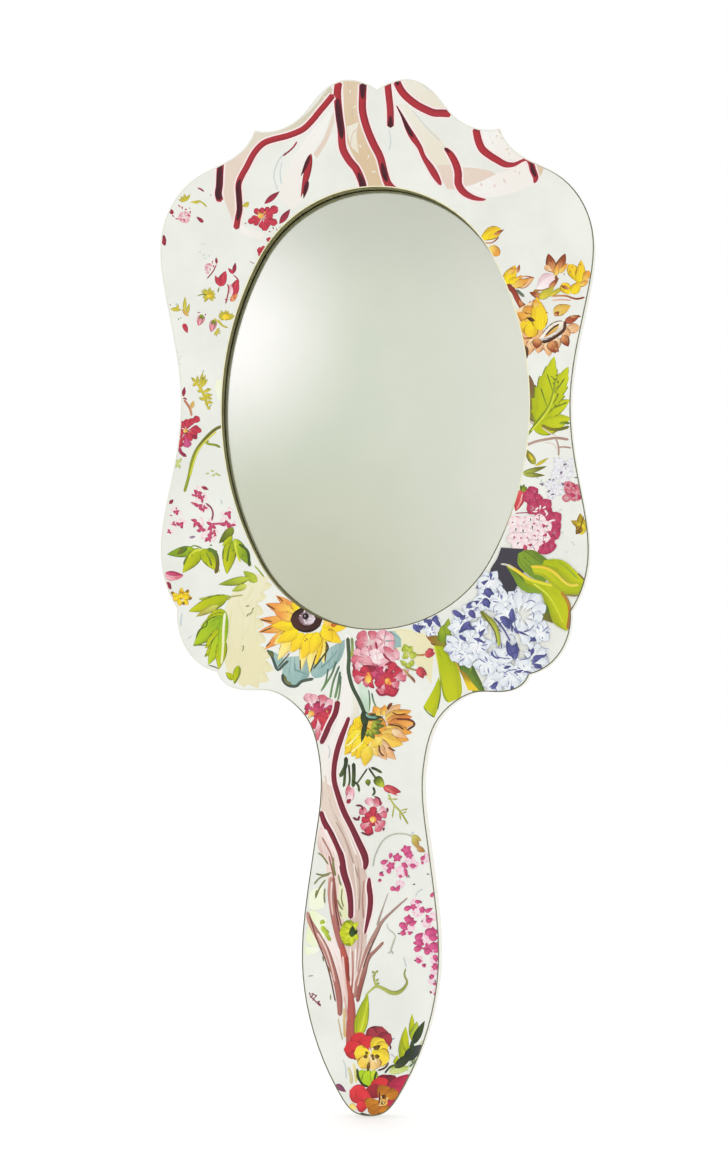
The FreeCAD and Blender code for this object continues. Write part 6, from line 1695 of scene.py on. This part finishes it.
def pansies():
    """The two pansies and their leaves at the tip of the handle."""
    m = Motif("front_tip_leaves")
    blades(m, None, "leaf", (9.5, -37.2, 10.4, -26.9, 3, LIME), (12.1, -30.6, 12.2, -23.2, 1.8, LIME),
        (12.4, -31.3, 13.7, -25.4, 2.6, ("B4C81E", "A9BC3A", "55611F")), (11.3, -34.3, 9.5, -30.6, 2, LIME),
        (7.3, -38, 8.2, -35.2, 1.5, LIME), (6.2, -39.8, 9.5, -38, 2.4, ("C4CE5A", "B4C83A", "7A8A2A")),
        (5.5, -40.2, 12.5, -38.4, 2.2, ("CFD98A", "B9C86A", "7A8A3A")),
        (11, -40.2, 15.4, -30.6, 1.6, ("DDE6C8", "C4CFA0", "8A9A6A")),
        (12.5, -37.6, 13.2, -36.1, 1.5, ("6E7E4A", "8A9A6A", "4A5A3A")),
        (12.4, -32.1, 15.9, -25.2, 2.2, DARK_LEAF),
        (10.2, -36.5, 15, -32.1, 3.4, ("2E3432", "3E4444", "1E2422")),
        (7.3, -38.9, 12.8, -34.3, 2.6, ("3A4228", "2E3A22", "1E2818")),
        (12.1, -35, 12.4, -30.2, 1.4, DARK_LEAF), look=(0.1, 0.6, 0.4, 0))
    stroke(m, [(4.3, -40.6), (6.2, -38.5), (8.4, -38)], ("3A4228", "4A5A2E", "1E2818"), 0.6)
    stroke(m, [(11.4, -38.7), (13.2, -36.9)], ("4A5A4A", "6E7E6A", "3A4A3A"), 0.5)
    stroke(m, [(6.2, -31.3), (6.7, -30.6), (7.5, -30.4)], ("9A8AA0", "B9B0BC", "7A6A80"), 0.45)
    stroke(m, [(5.8, -35), (6.9, -35.4), (7.3, -36.5)], ("B9B0BC", "CFC8D0", "9A8AA0"), 0.4)
    m.build()

    m = Motif("front_upper_pansy")
    red = ("D8353A", "CF3036", "8A2024")
    wine = ("8E2A36", "A03440", "4A1620")
    yolk = ("F6DC2E", "F3D43A", "8A6A1C")
    blade(m, 0.6, -34.3, 3.6, -27.1, 7.4, wine, "round", notch=0.05, look=(0.08, 0.6, 0.6, 0))
    blades(m, wine, "round", (2.1, -33.6, -0.1, -27.6, 3.8), (1.4, -33.6, 6.1, -29.1, 4.4),
        look=(0.12, 0.6, 0.4, 0))
    blade(m, -0.1, -33.9, -5.3, -29.9, 5.6, red, "round", look=(0.06, 0.4, 0.5, 0))
    blade(m, -0.5, -33.6, -1.6, -29.9, 5, red, "round", look=(0.05, 0.4, 0.3, 0))
    blade(m, -0.5, -33.9, -7.5, -33.9, 5.4, red, "round", look=(0.06, 0.4, 0.5, 0))
    blade(m, -2.3, -34.3, -5.3, -36.1, 3, ("A82A30", "C4303A", "6A1A20"), "round")
    blade(m, -2.3, -39.5, -1.6, -44.1, 3.6, ("A9CC1E", "9AC01E", "4A5A1C"), "leaf")
    blade(m, -0.5, -39.1, -0.1, -44.3, 4.2, ("B4D41E", "A4C81E", "55611F"), "round")
    blade(m, 1.4, -39.5, 1.2, -43.9, 2.4, ("C4D42A", "A4C81E", "55611F"), "leaf")
    strokes(m, ("3A4A1C", "2E3A18", "1E2814"),
        ([(-3.6, -39.1), (-3.2, -41.7), (-1.9, -43.9), (-0.1, -44.4)], 0.7),
        ([(2.1, -39.8), (1.6, -41.7), (1.4, -43.5)], 0.6))
    blades(m, yolk, "round", (0.5, -35, -4.5, -35, 5), (0.6, -35, 4, -30.6, 5.4), (1, -34.3, 5.3, -32.3, 3.8),
        (0.6, -35, 5.8, -36.5, 5.4), look=(0.12, 0.3, 0.3, 0))
    blade(m, 0.5, -35, 1.4, -39.6, 5.2, ("F3D79A", "EFC77A", "8A5A22"), "round", look=(0.12, 0.4, 0.3, 0))
    blade(m, -0.1, -35.4, -2.7, -39.1, 4, ("F3D46A", "F0C94A", "8A5A22"), "round", look=(0.14, 0.4, 0.3, 0))
    blades(m, ("8A6A1C", "4A3014", "2A1C10"), "point", (1.2, -33.9, 3.2, -32.4, 1.3),
        (1.4, -35.8, 3, -35.6, 1.3), (-0.5, -35.6, -1.8, -36, 1.2), (-0.5, -35.2, -1.2, -34.3, 0.9),
        (1.2, -33.9, 1.7, -32.6, 1.1), (-0.1, -37.2, -0.5, -40.2, 1), (0.6, -36, 1, -35, 1),
        (1.4, -36, 0.6, -36.5, 1.2))
    specks(m, [(0.5, -33.9), (0.3, -34.5), (0.6, -35.4), (-0.1, -36.1), (2.1, -37.6), (-0.1, -36.9)],
        ("F9E9C0", "F9EED0", "D9B87A"), 0.5)
    stroke(m, [(5.4, -32.1), (6.1, -32.8), (5.9, -33.9)], ("6A2A2A", "5A2020", "3A1414"), 0.5)
    stroke(m, [(5.6, -37.2), (4.5, -38.9), (2.3, -39.8)], ("5A3A1C", "4A2E18", "2A1C10"), 0.5)
    m.build()

    m = Motif("front_lower_pansy")
    ochre = ("C8801E", "B9701C", "7A4414")
    blade(m, 3.6, -46.5, 5.8, -40.9, 6, ("9E2430", "8E2030", "4A1620"), "round", look=(0.05, 0.5, 0.4, 0))
    blade(m, 3.6, -46.5, 7.5, -41.1, 4.6, ("8E2434", "7A1E2E", "4A1620"), "round", look=(0.06, 0.5, 0.5, 0))
    blade(m, 5.5, -46.8, 11.4, -40.6, 4.6, ("C0304E", "B82A48", "6A1A30"), "leaf", look=(0.05, 0.5, 0.4, 0))
    blades(m, None, "round", (4.4, -48.3, 9.2, -44.6, 5.2, ("B82A3E", "C0304E", "6A1A30")),
        (3.6, -48.7, 7.3, -49.8, 4.4, ("B0283A", "C0304E", "6A1A30")), look=(0.05, 0.5, 0.4, 0))
    blade(m, 3.6, -45.7, 2.5, -41.7, 5.2, ("D8353A", "CF3036", "8A2024"), "round", look=(0.04, 0.4, 0.3, 0))
    blade(m, 2.5, -47.6, -0.4, -44.3, 5.4, ("8E2430", "9E2834", "4A1620"), "round", look=(0.05, 0.5, 0.4, 0))
    blade(m, 0.7, -47.9, -5.8, -45.7, 5.6, ("D8353A", "DC3A42", "8A2024"), "round", look=(0.05, 0.4, 0.4, 0))
    blade(m, -0.1, -49.1, -3.8, -45.4, 3.6, ("DC3A42", "D8353A", "8A2024"), "round", look=(0.04, 0.4, 0.3, 0))
    blade(m, -0.1, -49.8, -3.8, -50.2, 3.6, ("CF3036", "DC3A42", "6A1A20"), "round", look=(0.08, 0.4, 0.4, 0))
    blades(m, None, "round", (2.9, -48.3, 5.8, -44.4, 5.4, ochre), (3.6, -47.6, 8.4, -45.7, 3.4, ochre),
        (2.7, -48.3, -0.4, -50.9, 5.6, ochre), (2.7, -49.1, 1.4, -53.1, 4.8, ("B9721C", "A8641A", "6A3A12")),
        (3.6, -49.1, 4.7, -51.6, 3.6, ("B9501E", "C8801E", "6A3A12")), look=(0.1, 0.5, 0.4, 0))
    disc(m, 4.1, -48.8, 1.3, ("EBC06A", "E0A84A", "7A4414"))
    blades(m, None, "leaf", (4.7, -47.6, 3.6, -46.8, 1.2, ("6A3A12", "4A2810", "2A1C10")),
        (3.4, -49.1, 4.7, -48.9, 1, ("4A2810", "3A2010", "2A1C10")))
    specks(m, [(3.3, -48.3), (5.1, -48.5), (4.4, -49.4), (3.6, -49.8), (4.9, -47.8), (3.6, -47.8)],
        ("F6E0A0", "F3D48A", "C8923A"), 0.4)
    stroke(m, [(2.9, -45.7), (3, -47.6), (2.8, -49.4)], ("6A1A30", "5A1628", "3A0E18"), 0.4)
    blades(m, None, "leaf", (-9.7, -43.9, -6.7, -46.1, 1.7, ("8E4A6A", "7A3A5A", "4A2238")),
        (-5.8, -49.8, -3.6, -50.9, 2, ("F3DA6A", "F6E48A", "C9A84A")))
    stroke(m, [(-2.6, -52), (-0.8, -52.6), (0.7, -52.7)], ("2E3428", "3A4030", "1E2418"), 0.7)
    stroke(m, [(2.2, -52.6), (3.3, -52)], ("5A4A1C", "4A3A18", "2A1C10"), 0.6)
    m.build()


# ---------------------------------------------------------------- the back
# The back carries flowers of the same kinds. Its x is as someone who faces the back sees it.


def round_blossoms(m, x, z, r, outer, inner, heart, turn=0):
    """A full flower of two rings of petals round a heart."""
    blossom(m, x, z, r, 9, outer, None, turn=turn, wide=0.9)
    blossom(m, x, z, r * 0.66, 7, inner, heart, turn=turn + 20, wide=0.9)


def great_sunflower(m, x, z, r):
    """A sunflower seen from the front, with two rings of pointed petals and a dark seed head."""
    gold, pale = (("F7DC22", "F4CE2A", "A8701F"), ("F6CE56", "EDA044", "A8552A"))
    for ring, (count, reach, inks) in enumerate(((17, 1, pale), (15, 0.84, gold))):
        for n in range(count):
            t = 2 * math.pi * (n + 0.5 * ring) / count + draw.uniform(-0.08, 0.08)
            far = r * reach * draw.uniform(0.9, 1.05)
            blade(m, x + 0.2 * r * math.cos(t), z + 0.2 * r * math.sin(t), x + far * math.cos(t),
                z + far * math.sin(t), r * 0.26, inks, "leaf", look=(0.1, 0.3, 0.22, 0))
    disc(m, x, z, r * 0.34, ("5A3428", "3E2620", "2A1A18"))
    disc(m, x, z, r * 0.2, ("B9AEC0", "8E8498", "4A3A48"))
    for n in range(34):
        t, far = SPIRAL * n, r * 0.33 * math.sqrt((n + 0.5) / 34)
        specks(m, [(x + far * math.cos(t), z + far * math.sin(t))],
            ("2A1A18", "3E2620", "2A1A18") if n < 12 else AMBER, 0.32)


def floret_ball(m, x, z, r, inks, shade, count):
    """A round head of four-petalled florets with darker petals between them."""
    disc(m, x, z, r * 0.86, inks, look=(0, 0.3, 0, 0))
    for n in range(count):
        t, far = SPIRAL * n + 0.4, r * 0.88 * math.sqrt((n + 0.5) / count)
        fx, fz = x + far * math.cos(t), z + far * math.sin(t)
        if n % 3 == 0:
            tip = fx + r * 0.2 * math.cos(t + 1), fz + r * 0.2 * math.sin(t + 1)
            blade(m, fx, fz, *tip, r * 0.13, shade, "leaf")
        blossom(m, fx, fz, r * 0.2, 4, inks, None, turn=draw.uniform(0, 90), wide=1, look=(0.1, 0.25, 0.2, 0))
        if n % 4 == 1:
            tip = fx + r * 0.14 * math.cos(t - 1), fz + r * 0.14 * math.sin(t - 1)
            blade(m, fx, fz, *tip, r * 0.09, shade, "leaf")


def leafy_sprig(m, points, inks, size):
    """A bending stem with a pair of leaves at each joint and one at the tip."""
    stroke(m, points, inks, 0.6)
    for (ax, az), (bx, bz) in zip(points, points[1:]):
        angle = math.atan2(bz - az, bx - ax)
        for side in (-1, 1):
            t = angle + side * draw.uniform(0.6, 0.9)
            blade(m, bx, bz, bx + size * math.cos(t), bz + size * math.sin(t), size * 0.36, inks, "leaf",
                bend=0.08 * side)
    blade(m, bx, bz, bx + size * math.cos(angle), bz + size * math.sin(angle), size * 0.36, inks, "leaf")


def scattered(m, spots, pale, dark):
    """Loose florets: pale petals with darker touches."""
    for x, z, r in spots:
        blossom(m, x, z, r, 5, pale, None, turn=draw.uniform(0, 70), look=(0.08, 0.3, 0.2, 0))
        for _ in range(2):
            t = draw.uniform(0, TURN)
            blade(m, x, z, x + r * math.cos(t), z + r * math.sin(t), r * 0.5, dark, "leaf")
        specks(m, [(x, z)], GOLD_HEART, 0.4)


def back_ribbons():
    """The crimson-edged ribbons that spread from the top of the back."""
    m = Motif("back_ribbons", BACK)
    patch(m, [(-6, 248), (-16, 238), (-30, 231), (-42, 222), (-47, 205)],
        [(-3, 240), (-12, 226), (-27, 215), (-38, 209), (-46, 202)], BLUSH)
    patch(m, [(-1, 248), (-3, 230), (3, 212), (-3, 192), (0, 176)],
        [(8, 248), (7, 230), (14, 213), (8, 194), (12, 176)], TAN, (0, 0.6, 0, 0))
    patch(m, [(12, 248), (22, 238), (30, 224), (40, 212), (46, 196)],
        [(10, 240), (16, 226), (27, 212), (36, 202), (45, 195)], CREAM)
    patch(m, [(34, 234), (41, 228), (52, 222), (60, 214)], [(38, 226), (44, 220), (52, 214), (59, 211)],
        PALE_FOLD)
    patch(m, [(-22, 214), (-27, 204), (-24, 192)], [(-16, 216), (-19, 204), (-18, 193)], PALE_FOLD)
    stripe(m, [(-5, 247), (-13, 232), (-27, 224), (-40, 219), (-46, 206), (-48, 190)], 2.7,
        [(0, 0.12), (0.55, 0.85)])
    stripe(m, [(-1, 246), (-3, 230), (2, 213), (-4, 195), (-1, 178)], 2.8, [(0.1, 0.35), (0.75, 1)])
    stripe(m, [(9, 247), (8, 231), (15, 213), (9, 195), (13, 178)], 2.8, [(0.3, 0.55)])
    stripe(m, [(13, 246), (24, 235), (37, 232.5), (40, 222), (51, 215), (57, 216)], 2.7,
        [(0, 0.1), (0.45, 0.6), (0.9, 1)])
    stripe(m, [(12, 236), (19, 222), (27, 213), (31, 199), (38, 192)], 2.6, [(0.1, 0.3)], (4, 3))
    stripe(m, [(-24, 213), (-29, 204), (-26, 192)], 2.3, [(0.2, 0.7)], (3, 3))
    stripe(m, [(-52, 216), (-55, 206), (-54, 198)], 2.4, [(0.3, 0.9)], (0.3, 2))
    specks(m, [(3, 236), (5, 226), (9, 218), (6, 206), (3, 196), (8, 186), (44, 222), (48, 219), (38, 226)],
        CREAM, 0.7)
    strokes(m, GREY, ([(-12, 212), (-14, 204), (-11, 196)], 0.4), ([(24, 206), (22, 198), (25, 190)], 0.4))
    m.build()


def back_bouquet():
    """The large bouquet in the middle of the back's head."""
    m = Motif("back_bouquet_leaves", BACK)
    blades(m, WASH, "leaf", (-10, 132, -57, 152, 12), (10, 132, 57, 154, 12), (-8, 122, -40, 82, 12),
        (8, 122, 40, 82, 12), (-4, 150, -34, 196, 11), (6, 150, 36, 194, 11), look=(0.06, 0.4, 0.3, 1))
    for ax, az, bx, bz, w, inks, teeth in ((-8, 140, -46, 166, 11, LIME, 6),
            (-6, 134, -50, 140, 10, LEAF_GREEN, 5), (6, 142, 44, 172, 11, LIME, 6),
            (8, 134, 52, 142, 10, LEAF_GREEN, 5), (-4, 126, -44, 112, 11, LIME, 0),
            (6, 124, 46, 108, 11, LIME, 0), (-2, 148, -16, 186, 9, LEAF_GREEN, 5),
            (4, 148, 22, 184, 9, LIME, 5), (0, 110, -24, 88, 9, TEAL, 0), (2, 110, 26, 86, 9, TEAL, 0),
            (-6, 118, -36, 96, 8, LIME, 0), (8, 116, 38, 94, 8, LEAF_GREEN, 0)):
        blade(m, ax, az, bx, bz, w, inks, "leaf", teeth=teeth, bend=draw.uniform(-0.05, 0.05),
            look=(0.1, 0.45, 0.3, 1))
        stroke(m, [(ax, az), ((ax + bx) / 2, (az + bz) / 2), (0.1 * ax + 0.9 * bx, 0.1 * az + 0.9 * bz)],
            ("DCE04A", "CFD83A", "8FA022"), 0.5)
    for ax, az, bx, bz in ((-20, 160, -52, 186), (-24, 120, -55, 118), (22, 160, 52, 184), (26, 120, 57, 116),
            (-10, 160, -10, 198), (12, 160, 14, 200), (-12, 110, -20, 76), (12, 110, 20, 76)):
        blade(m, ax, az, bx, bz, 3.2, SPRIG, "leaf", bend=draw.uniform(-0.12, 0.12))
    for points in ([(-20, 168), (-27, 178), (-30, 188), (-38, 194)],
            [(24, 168), (30, 178), (36, 184), (46, 188)], [(-36, 128), (-46, 126), (-54, 122)],
            [(38, 126), (47, 126), (54, 120)]):
        leafy_sprig(m, points, SPRIG, 5)
    m.build()

    m = Motif("back_bouquet_flowers", BACK)
    floret_ball(m, 26, 118, 16, FROST, INDIGO, 34)
    floret_ball(m, -30, 118, 13, SHELL, PINK_RED, 28)
    round_blossoms(m, 21, 152, 15, PALE_PINK, PINK, GOLD_HEART, 10)
    blossom(m, 21, 152, 6.5, 6, ROSE, GOLD_HEART, turn=30)
    round_blossoms(m, -2, 118, 12, PINK, ROSE, GOLD_HEART, 25)
    round_blossoms(m, 4, 172, 8.5, AMBER, YOLK, RUST, 5)
    blossom(m, -30, 170, 7.5, 6, ROSE, GOLD_HEART, turn=15)
    blossom(m, 40, 160, 6.5, 6, DEEP_ROSE, GOLD_HEART, turn=40)
    great_sunflower(m, -14, 146, 21)
    blossom(m, -40, 146, 6, 5, SCARLET, YOLK, turn=20, wide=1)
    blossom(m, -48, 128, 4.2, 6, LEMON, RUST, turn=30)
    blossom(m, 50, 146, 4, 6, PALE_PINK, ROSE, turn=10)
    blossom(m, -18, 178, 4.4, 6, PALE_PINK, ROSE, turn=50)
    blossom(m, 25, 94, 4.6, 6, PALE_PINK, ROSE, turn=5)
    blossom(m, -24, 97, 4.4, 6, AMBER, RUST, turn=15)
    blossom(m, 6, 99, 7, 5, YOLK, RUST, turn=10, wide=1)
    blossom(m, -11, 95, 5, 5, SCARLET, YOLK, turn=50, wide=1)
    for ax, az, bx, bz in ((-36, 178, -40, 188), (-24, 182, -26, 192), (30, 180, 33, 190), (44, 170, 50, 178),
            (50, 134, 57, 132), (-50, 134, -56, 131), (14, 184, 15, 193)):
        bud(m, ax, az, bx, bz, 3.4, PINK)
    m.build()


def back_borders():
    """The loose florets, buds and sprigs round the bouquet."""
    m = Motif("back_loose_florets", BACK)
    scattered(m, [(-52, 180, 2.6), (-47, 172, 2.2), (-53, 168, 1.8), (-44, 182, 1.8), (-50, 156, 2),
        (54, 198, 2.6), (48, 203, 2), (56, 190, 2), (50, 181, 1.6)], SHELL, PINK_RED)
    scattered(m, [(50, 156, 2.4), (46, 150, 1.8), (54, 150, 1.6), (-56, 108, 2.4), (-52, 101, 2),
        (-58, 101, 1.6), (56, 106, 2.4), (51, 99, 2), (57, 98, 1.8)], FROST, INDIGO)
    scattered(m, [(-55, 140, 1.6), (-52, 146, 1.3), (56, 142, 1.5), (52, 128, 1.3), (-30, 92, 1.7),
        (-26, 88, 1.3), (30, 92, 1.7), (27, 87, 1.4), (-22, 78, 1.5), (22, 78, 1.5)], PALE_PINK, PINK_RED)
    scattered(m,
        [(-16, 203, 1.8), (-8, 196, 1.5), (22, 198, 1.8), (18, 206, 1.4), (-36, 206, 2), (-41, 200, 1.6)],
        PALE_PINK, ROSE)
    m.build()

    m = Motif("back_border_sprigs", BACK)
    for points in ([(-50, 212), (-56, 204), (-57, 196)], [(-55, 150), (-53, 142), (-54, 134)],
            [(55, 168), (52, 160), (53, 152)], [(-48, 92), (-42, 86), (-36, 82)],
            [(48, 92), (42, 86), (36, 82)]):
        leafy_sprig(m, points, LIME, 4.6)
    for x, z, turn in ((-58, 188, 20), (57, 178, 70), (-34, 86, 10), (34, 87, 50)):
        blossom(m, x, z, 2.8, 8, LEMON, GOLD_HEART, turn=turn, wide=0.6, shape="point")
    for ax, az, bx, bz in ((-42, 96, -48, 88), (43, 97, 49, 89), (-57, 118, -60, 110), (58, 118, 60, 110)):
        bud(m, ax, az, bx, bz, 2.8, ROSE)
    m.build()


def back_handle():
    """The stems, stripes, blossoms and pansies down the back of the handle."""
    m = Motif("back_trunk", BACK)
    patch(m, [(-4, 108), (-7, 84), (-5, 66), (-9, 46), (-5, 24), (-8, 2), (-3, -22), (-3, -34)],
        [(4, 108), (7, 84), (6, 66), (2, 46), (6, 24), (4, 2), (3, -22), (2, -34)],
        ("DDCCBE", "CDB5A8", "A98A80"), (0, 0.7, 0, 0))
    for points, w in (([(-6, 96), (-8, 80), (-6, 64), (-10, 46), (-6, 26), (-9, 6), (-5, -12)], 2.1),
            ([(6, 96), (8, 80), (7, 64), (2, 46), (7, 24), (4, 4), (5, -10)], 2.1),
            ([(0, 72), (-2, 56), (-4, 44)], 1.4)):
        stripe(m, points, w, inks=MAROON, ends=(3, 4))
    bark = ("C98A80", "A8605A", "6A3830")
    for points, w in (([(-16, 16), (-12, 0), (-7, -14), (-3, -30)], 1.9),
            ([(15, 20), (11, 4), (7, -12), (2, -30)], 1.7), ([(18, 2), (13, -6), (8, -13)], 1.1),
            ([(0, 10), (-1, -10), (-1, -36)], 2.2)):
        stroke(m, points, bark, w, ends=(3, 0.6))
        stroke(m, [(x + 0.5, z) for x, z in points], PALE_BARK, 0.4)
    for x in (-4, -1.5, 1):
        stroke(m, [(x, 98), (x - 1, 80), (x + 1.5, 62), (x - 2.5, 46), (x + 1.5, 24), (x - 0.5, 4)], DUN, 0.4)
    m.build()

    m = Motif("back_handle_blossoms", BACK)
    blossom(m, -9, 58, 5, 6, PINK, GOLD_HEART, turn=10)
    blossom(m, 9, 52, 4.6, 7, ROSE, GOLD_HEART, turn=30)
    blossom(m, 11, 32, 4.4, 8, YOLK, RUST, turn=0, shape="leaf", wide=0.7)
    blossom(m, -12, 28, 4.8, 6, PALE_PINK, ROSE, turn=20)
    scattered(m, [(14, 14, 1.8), (16, 8, 1.6), (13, 20, 1.3), (17, -1, 1.5), (15, -9, 1.4), (-16, 6, 1.6),
        (-15, -4, 1.8), (-12, -12, 1.3), (-17, 13, 1.2)], SHELL, PINK_RED)
    for points in ([(-12, 68), (-14, 60), (-13, 52)], [(12, 66), (13, 60), (12, 44)],
            [(12, -14), (14, -20), (13, -27)], [(-9, -18), (-12, -24), (-11, -31)]):
        leafy_sprig(m, points, LIME, 3.8)
    m.build()

    m = Motif("back_pansies", BACK)
    for ax, az, bx, bz in ((7, -32, 15, -20), (6, -38, 13, -30), (-7, -34, -14, -22), (-6, -38, -12, -33),
            (4, -34, 9, -40), (-4, -34, -9, -41)):
        blade(m, ax, az, bx, bz, 3.4, LIME, "leaf")
    red, wine, sun = (("D93A35", "C7333A", "6A1A24"), ("A02C44", "8A2438", "4A1420"),
        ("F2CB2C", "E8B62A", "8A4A1C"))
    for x, z, r, upper in ((0.5, -27, 7.6, red), (-0.5, -42.5, 6.6, wine)):
        for ax, az, w, inks in ((-0.7, 0.75, 1, upper), (0.7, 0.75, 1, wine), (-0.95, -0.1, 0.85, sun),
                (0.95, -0.1, 0.85, sun), (0, -0.95, 1.05, sun)):
            blade(m, x, z, x + ax * r, z + az * r, w * r, inks, "round", look=(0.1, 0.5, 0.3, 0))
        for t in (200, 235, 270, 305, 340):
            stroke(m, [(x, z),
                (x + 0.42 * r * math.cos(math.radians(t)), z + 0.42 * r * math.sin(math.radians(t)))],
                ("4A2A1C", "3A2018", "2A1814"), 0.45)
        disc(m, x, z, 0.6, GOLD_HEART)
    m.build()


front_ribbons()
upper_left_flowers()
left_flowers()
right_blooms()
right_leaf()
pink_cluster()
lower_right_leaves()
blue_cluster()
lower_left_leaves()
sunflower()
neck_flowers()
handle_stripes()
handle_blooms()
handle_branches()
pansies()
back_ribbons()
back_handle()
back_bouquet()
back_borders()

# ---------------------------------------------------------------- floor, light and camera


def stage_sheet(name, size, place, turn, material):
    """A flat square of the studio, which isn't part of the mirror."""
    half = size / 2
    mesh = bpy.data.meshes.new(name)
    corners = [(-half, -half, 0), (half, -half, 0), (half, half, 0), (-half, half, 0)]
    mesh.from_pydata(corners, [], [(0, 1, 2, 3)])
    mesh.materials.append(material)
    sheet = bpy.data.objects.new(name, mesh)
    sheet.location, sheet.rotation_euler = place, turn
    bpy.context.scene.collection.objects.link(sheet)
    return sheet


def area_light(name, place, target, size, power):
    """A square soft light at place that faces target."""
    lamp = bpy.data.lights.new(name, "AREA")
    lamp.shape, lamp.size, lamp.energy = "SQUARE", size, power
    light = bpy.data.objects.new(name, lamp)
    light.location = place
    light.rotation_euler = (target - Vector(place)).to_track_quat("-Z", "Y").to_euler()
    bpy.context.scene.collection.objects.link(light)


FLOOR_SIZE = 12.0
FLOOR_GAP = 0.0006  # m between the floor and the mirror's lowest point
floor_shader = Shader("studio_floor")
floor_shader.set(Base_Color=(0.5, 0.5, 0.5, 1), Roughness=0.7)
floor_shader.set(Emission_Color=(1, 1, 1, 1), Emission_Strength=0.45)
low, high = cad_box
middle = Vector(((low[0] + high[0]) / 2, 0, (low[2] + high[2]) / 2))
stage_sheet("floor", FLOOR_SIZE, (0, 0, low[2] - FLOOR_GAP), (0, 0, 0), floor_shader.material)

world = bpy.data.worlds.new("studio")
world.use_nodes = True
world.node_tree.nodes["Background"].inputs[0].default_value = (1.0, 1.0, 1.0, 1)
world.node_tree.nodes["Background"].inputs[1].default_value = 1.0
bpy.context.scene.world = world
bpy.context.scene.view_settings.view_transform = "Standard"

area_light("key_light", place=(-0.9, -1.3, 1.1), target=middle, size=0.9, power=1.0)
sun = bpy.data.lights.new("overhead_light", "SUN")
sun.energy, sun.angle = 0.6, math.radians(60)
bpy.context.scene.collection.objects.link(bpy.data.objects.new("overhead_light", sun))


def card_material():
    """The studio card that the glass reflects: a cream glow at its upper left on grey-green."""
    s = Shader("reflected_card")
    x, z, _ = s.split(s.place())
    colour = s.mix(s.ramp(x, -0.15, 0.0), (0.90, 0.90, 0.86, 1), (1.01, 0.97, 0.98, 1))
    colour = s.mix(s.ramp(z, 0.07, 0.20), colour, (0.80, 0.77, 0.775, 1))
    low_left = s.maths("MULTIPLY", s.ramp(z, 0.0, -0.15), s.ramp(x, 0.0, -0.14))
    colour = s.mix(low_left, colour, (0.79, 0.75, 0.67, 1))
    away = s.combine(s.maths("ADD", x, 0.245), s.maths("ADD", z, -0.075), 0.0)
    glow = s.ramp(s.node("VectorMath", "Value", {0: away}, operation="LENGTH"), 0.125, 0.02)
    s.link(s.mix(glow, colour, (1.50, 1.37, 1.55, 1)), "Emission Color")
    s.set(Base_Color=(0, 0, 0, 1), Emission_Strength=1.0, Specular_IOR_Level=0.0)
    return s.material


upright = (math.radians(90), 0, 0)
card = stage_sheet("reflected_card", 1.6, (-0.091, -2.0, 0.31), upright, card_material())
card.visible_camera = False

# The camera stands a little low and to the right and is turned to the mirror's face.
DISTANCE = 1.05
VIEW_HEIGHT = 0.3345  # m that the picture takes in from top to bottom
SENSOR = 24.0  # mm
ROLL = math.radians(0.45)
camera_data = bpy.data.cameras.new("camera")
camera_data.sensor_fit = "VERTICAL"
camera_data.sensor_height = SENSOR
camera = bpy.data.objects.new("camera", camera_data)
target = Vector((-0.0027, low[1], 0.1021))  # the spot at the middle of the picture
yaw, rise = math.radians(6.0), math.radians(-2.0)
offset = Vector((math.sin(yaw) * math.cos(rise), -math.cos(yaw) * math.cos(rise), math.sin(rise)))
camera.location = target + DISTANCE * offset
camera.rotation_euler = (-offset).to_track_quat("-Z", "Y").to_euler()
camera.rotation_euler.rotate_axis("Z", ROLL)
camera_data.lens = SENSOR * DISTANCE / VIEW_HEIGHT
bpy.context.scene.collection.objects.link(camera)
bpy.context.scene.camera = camera
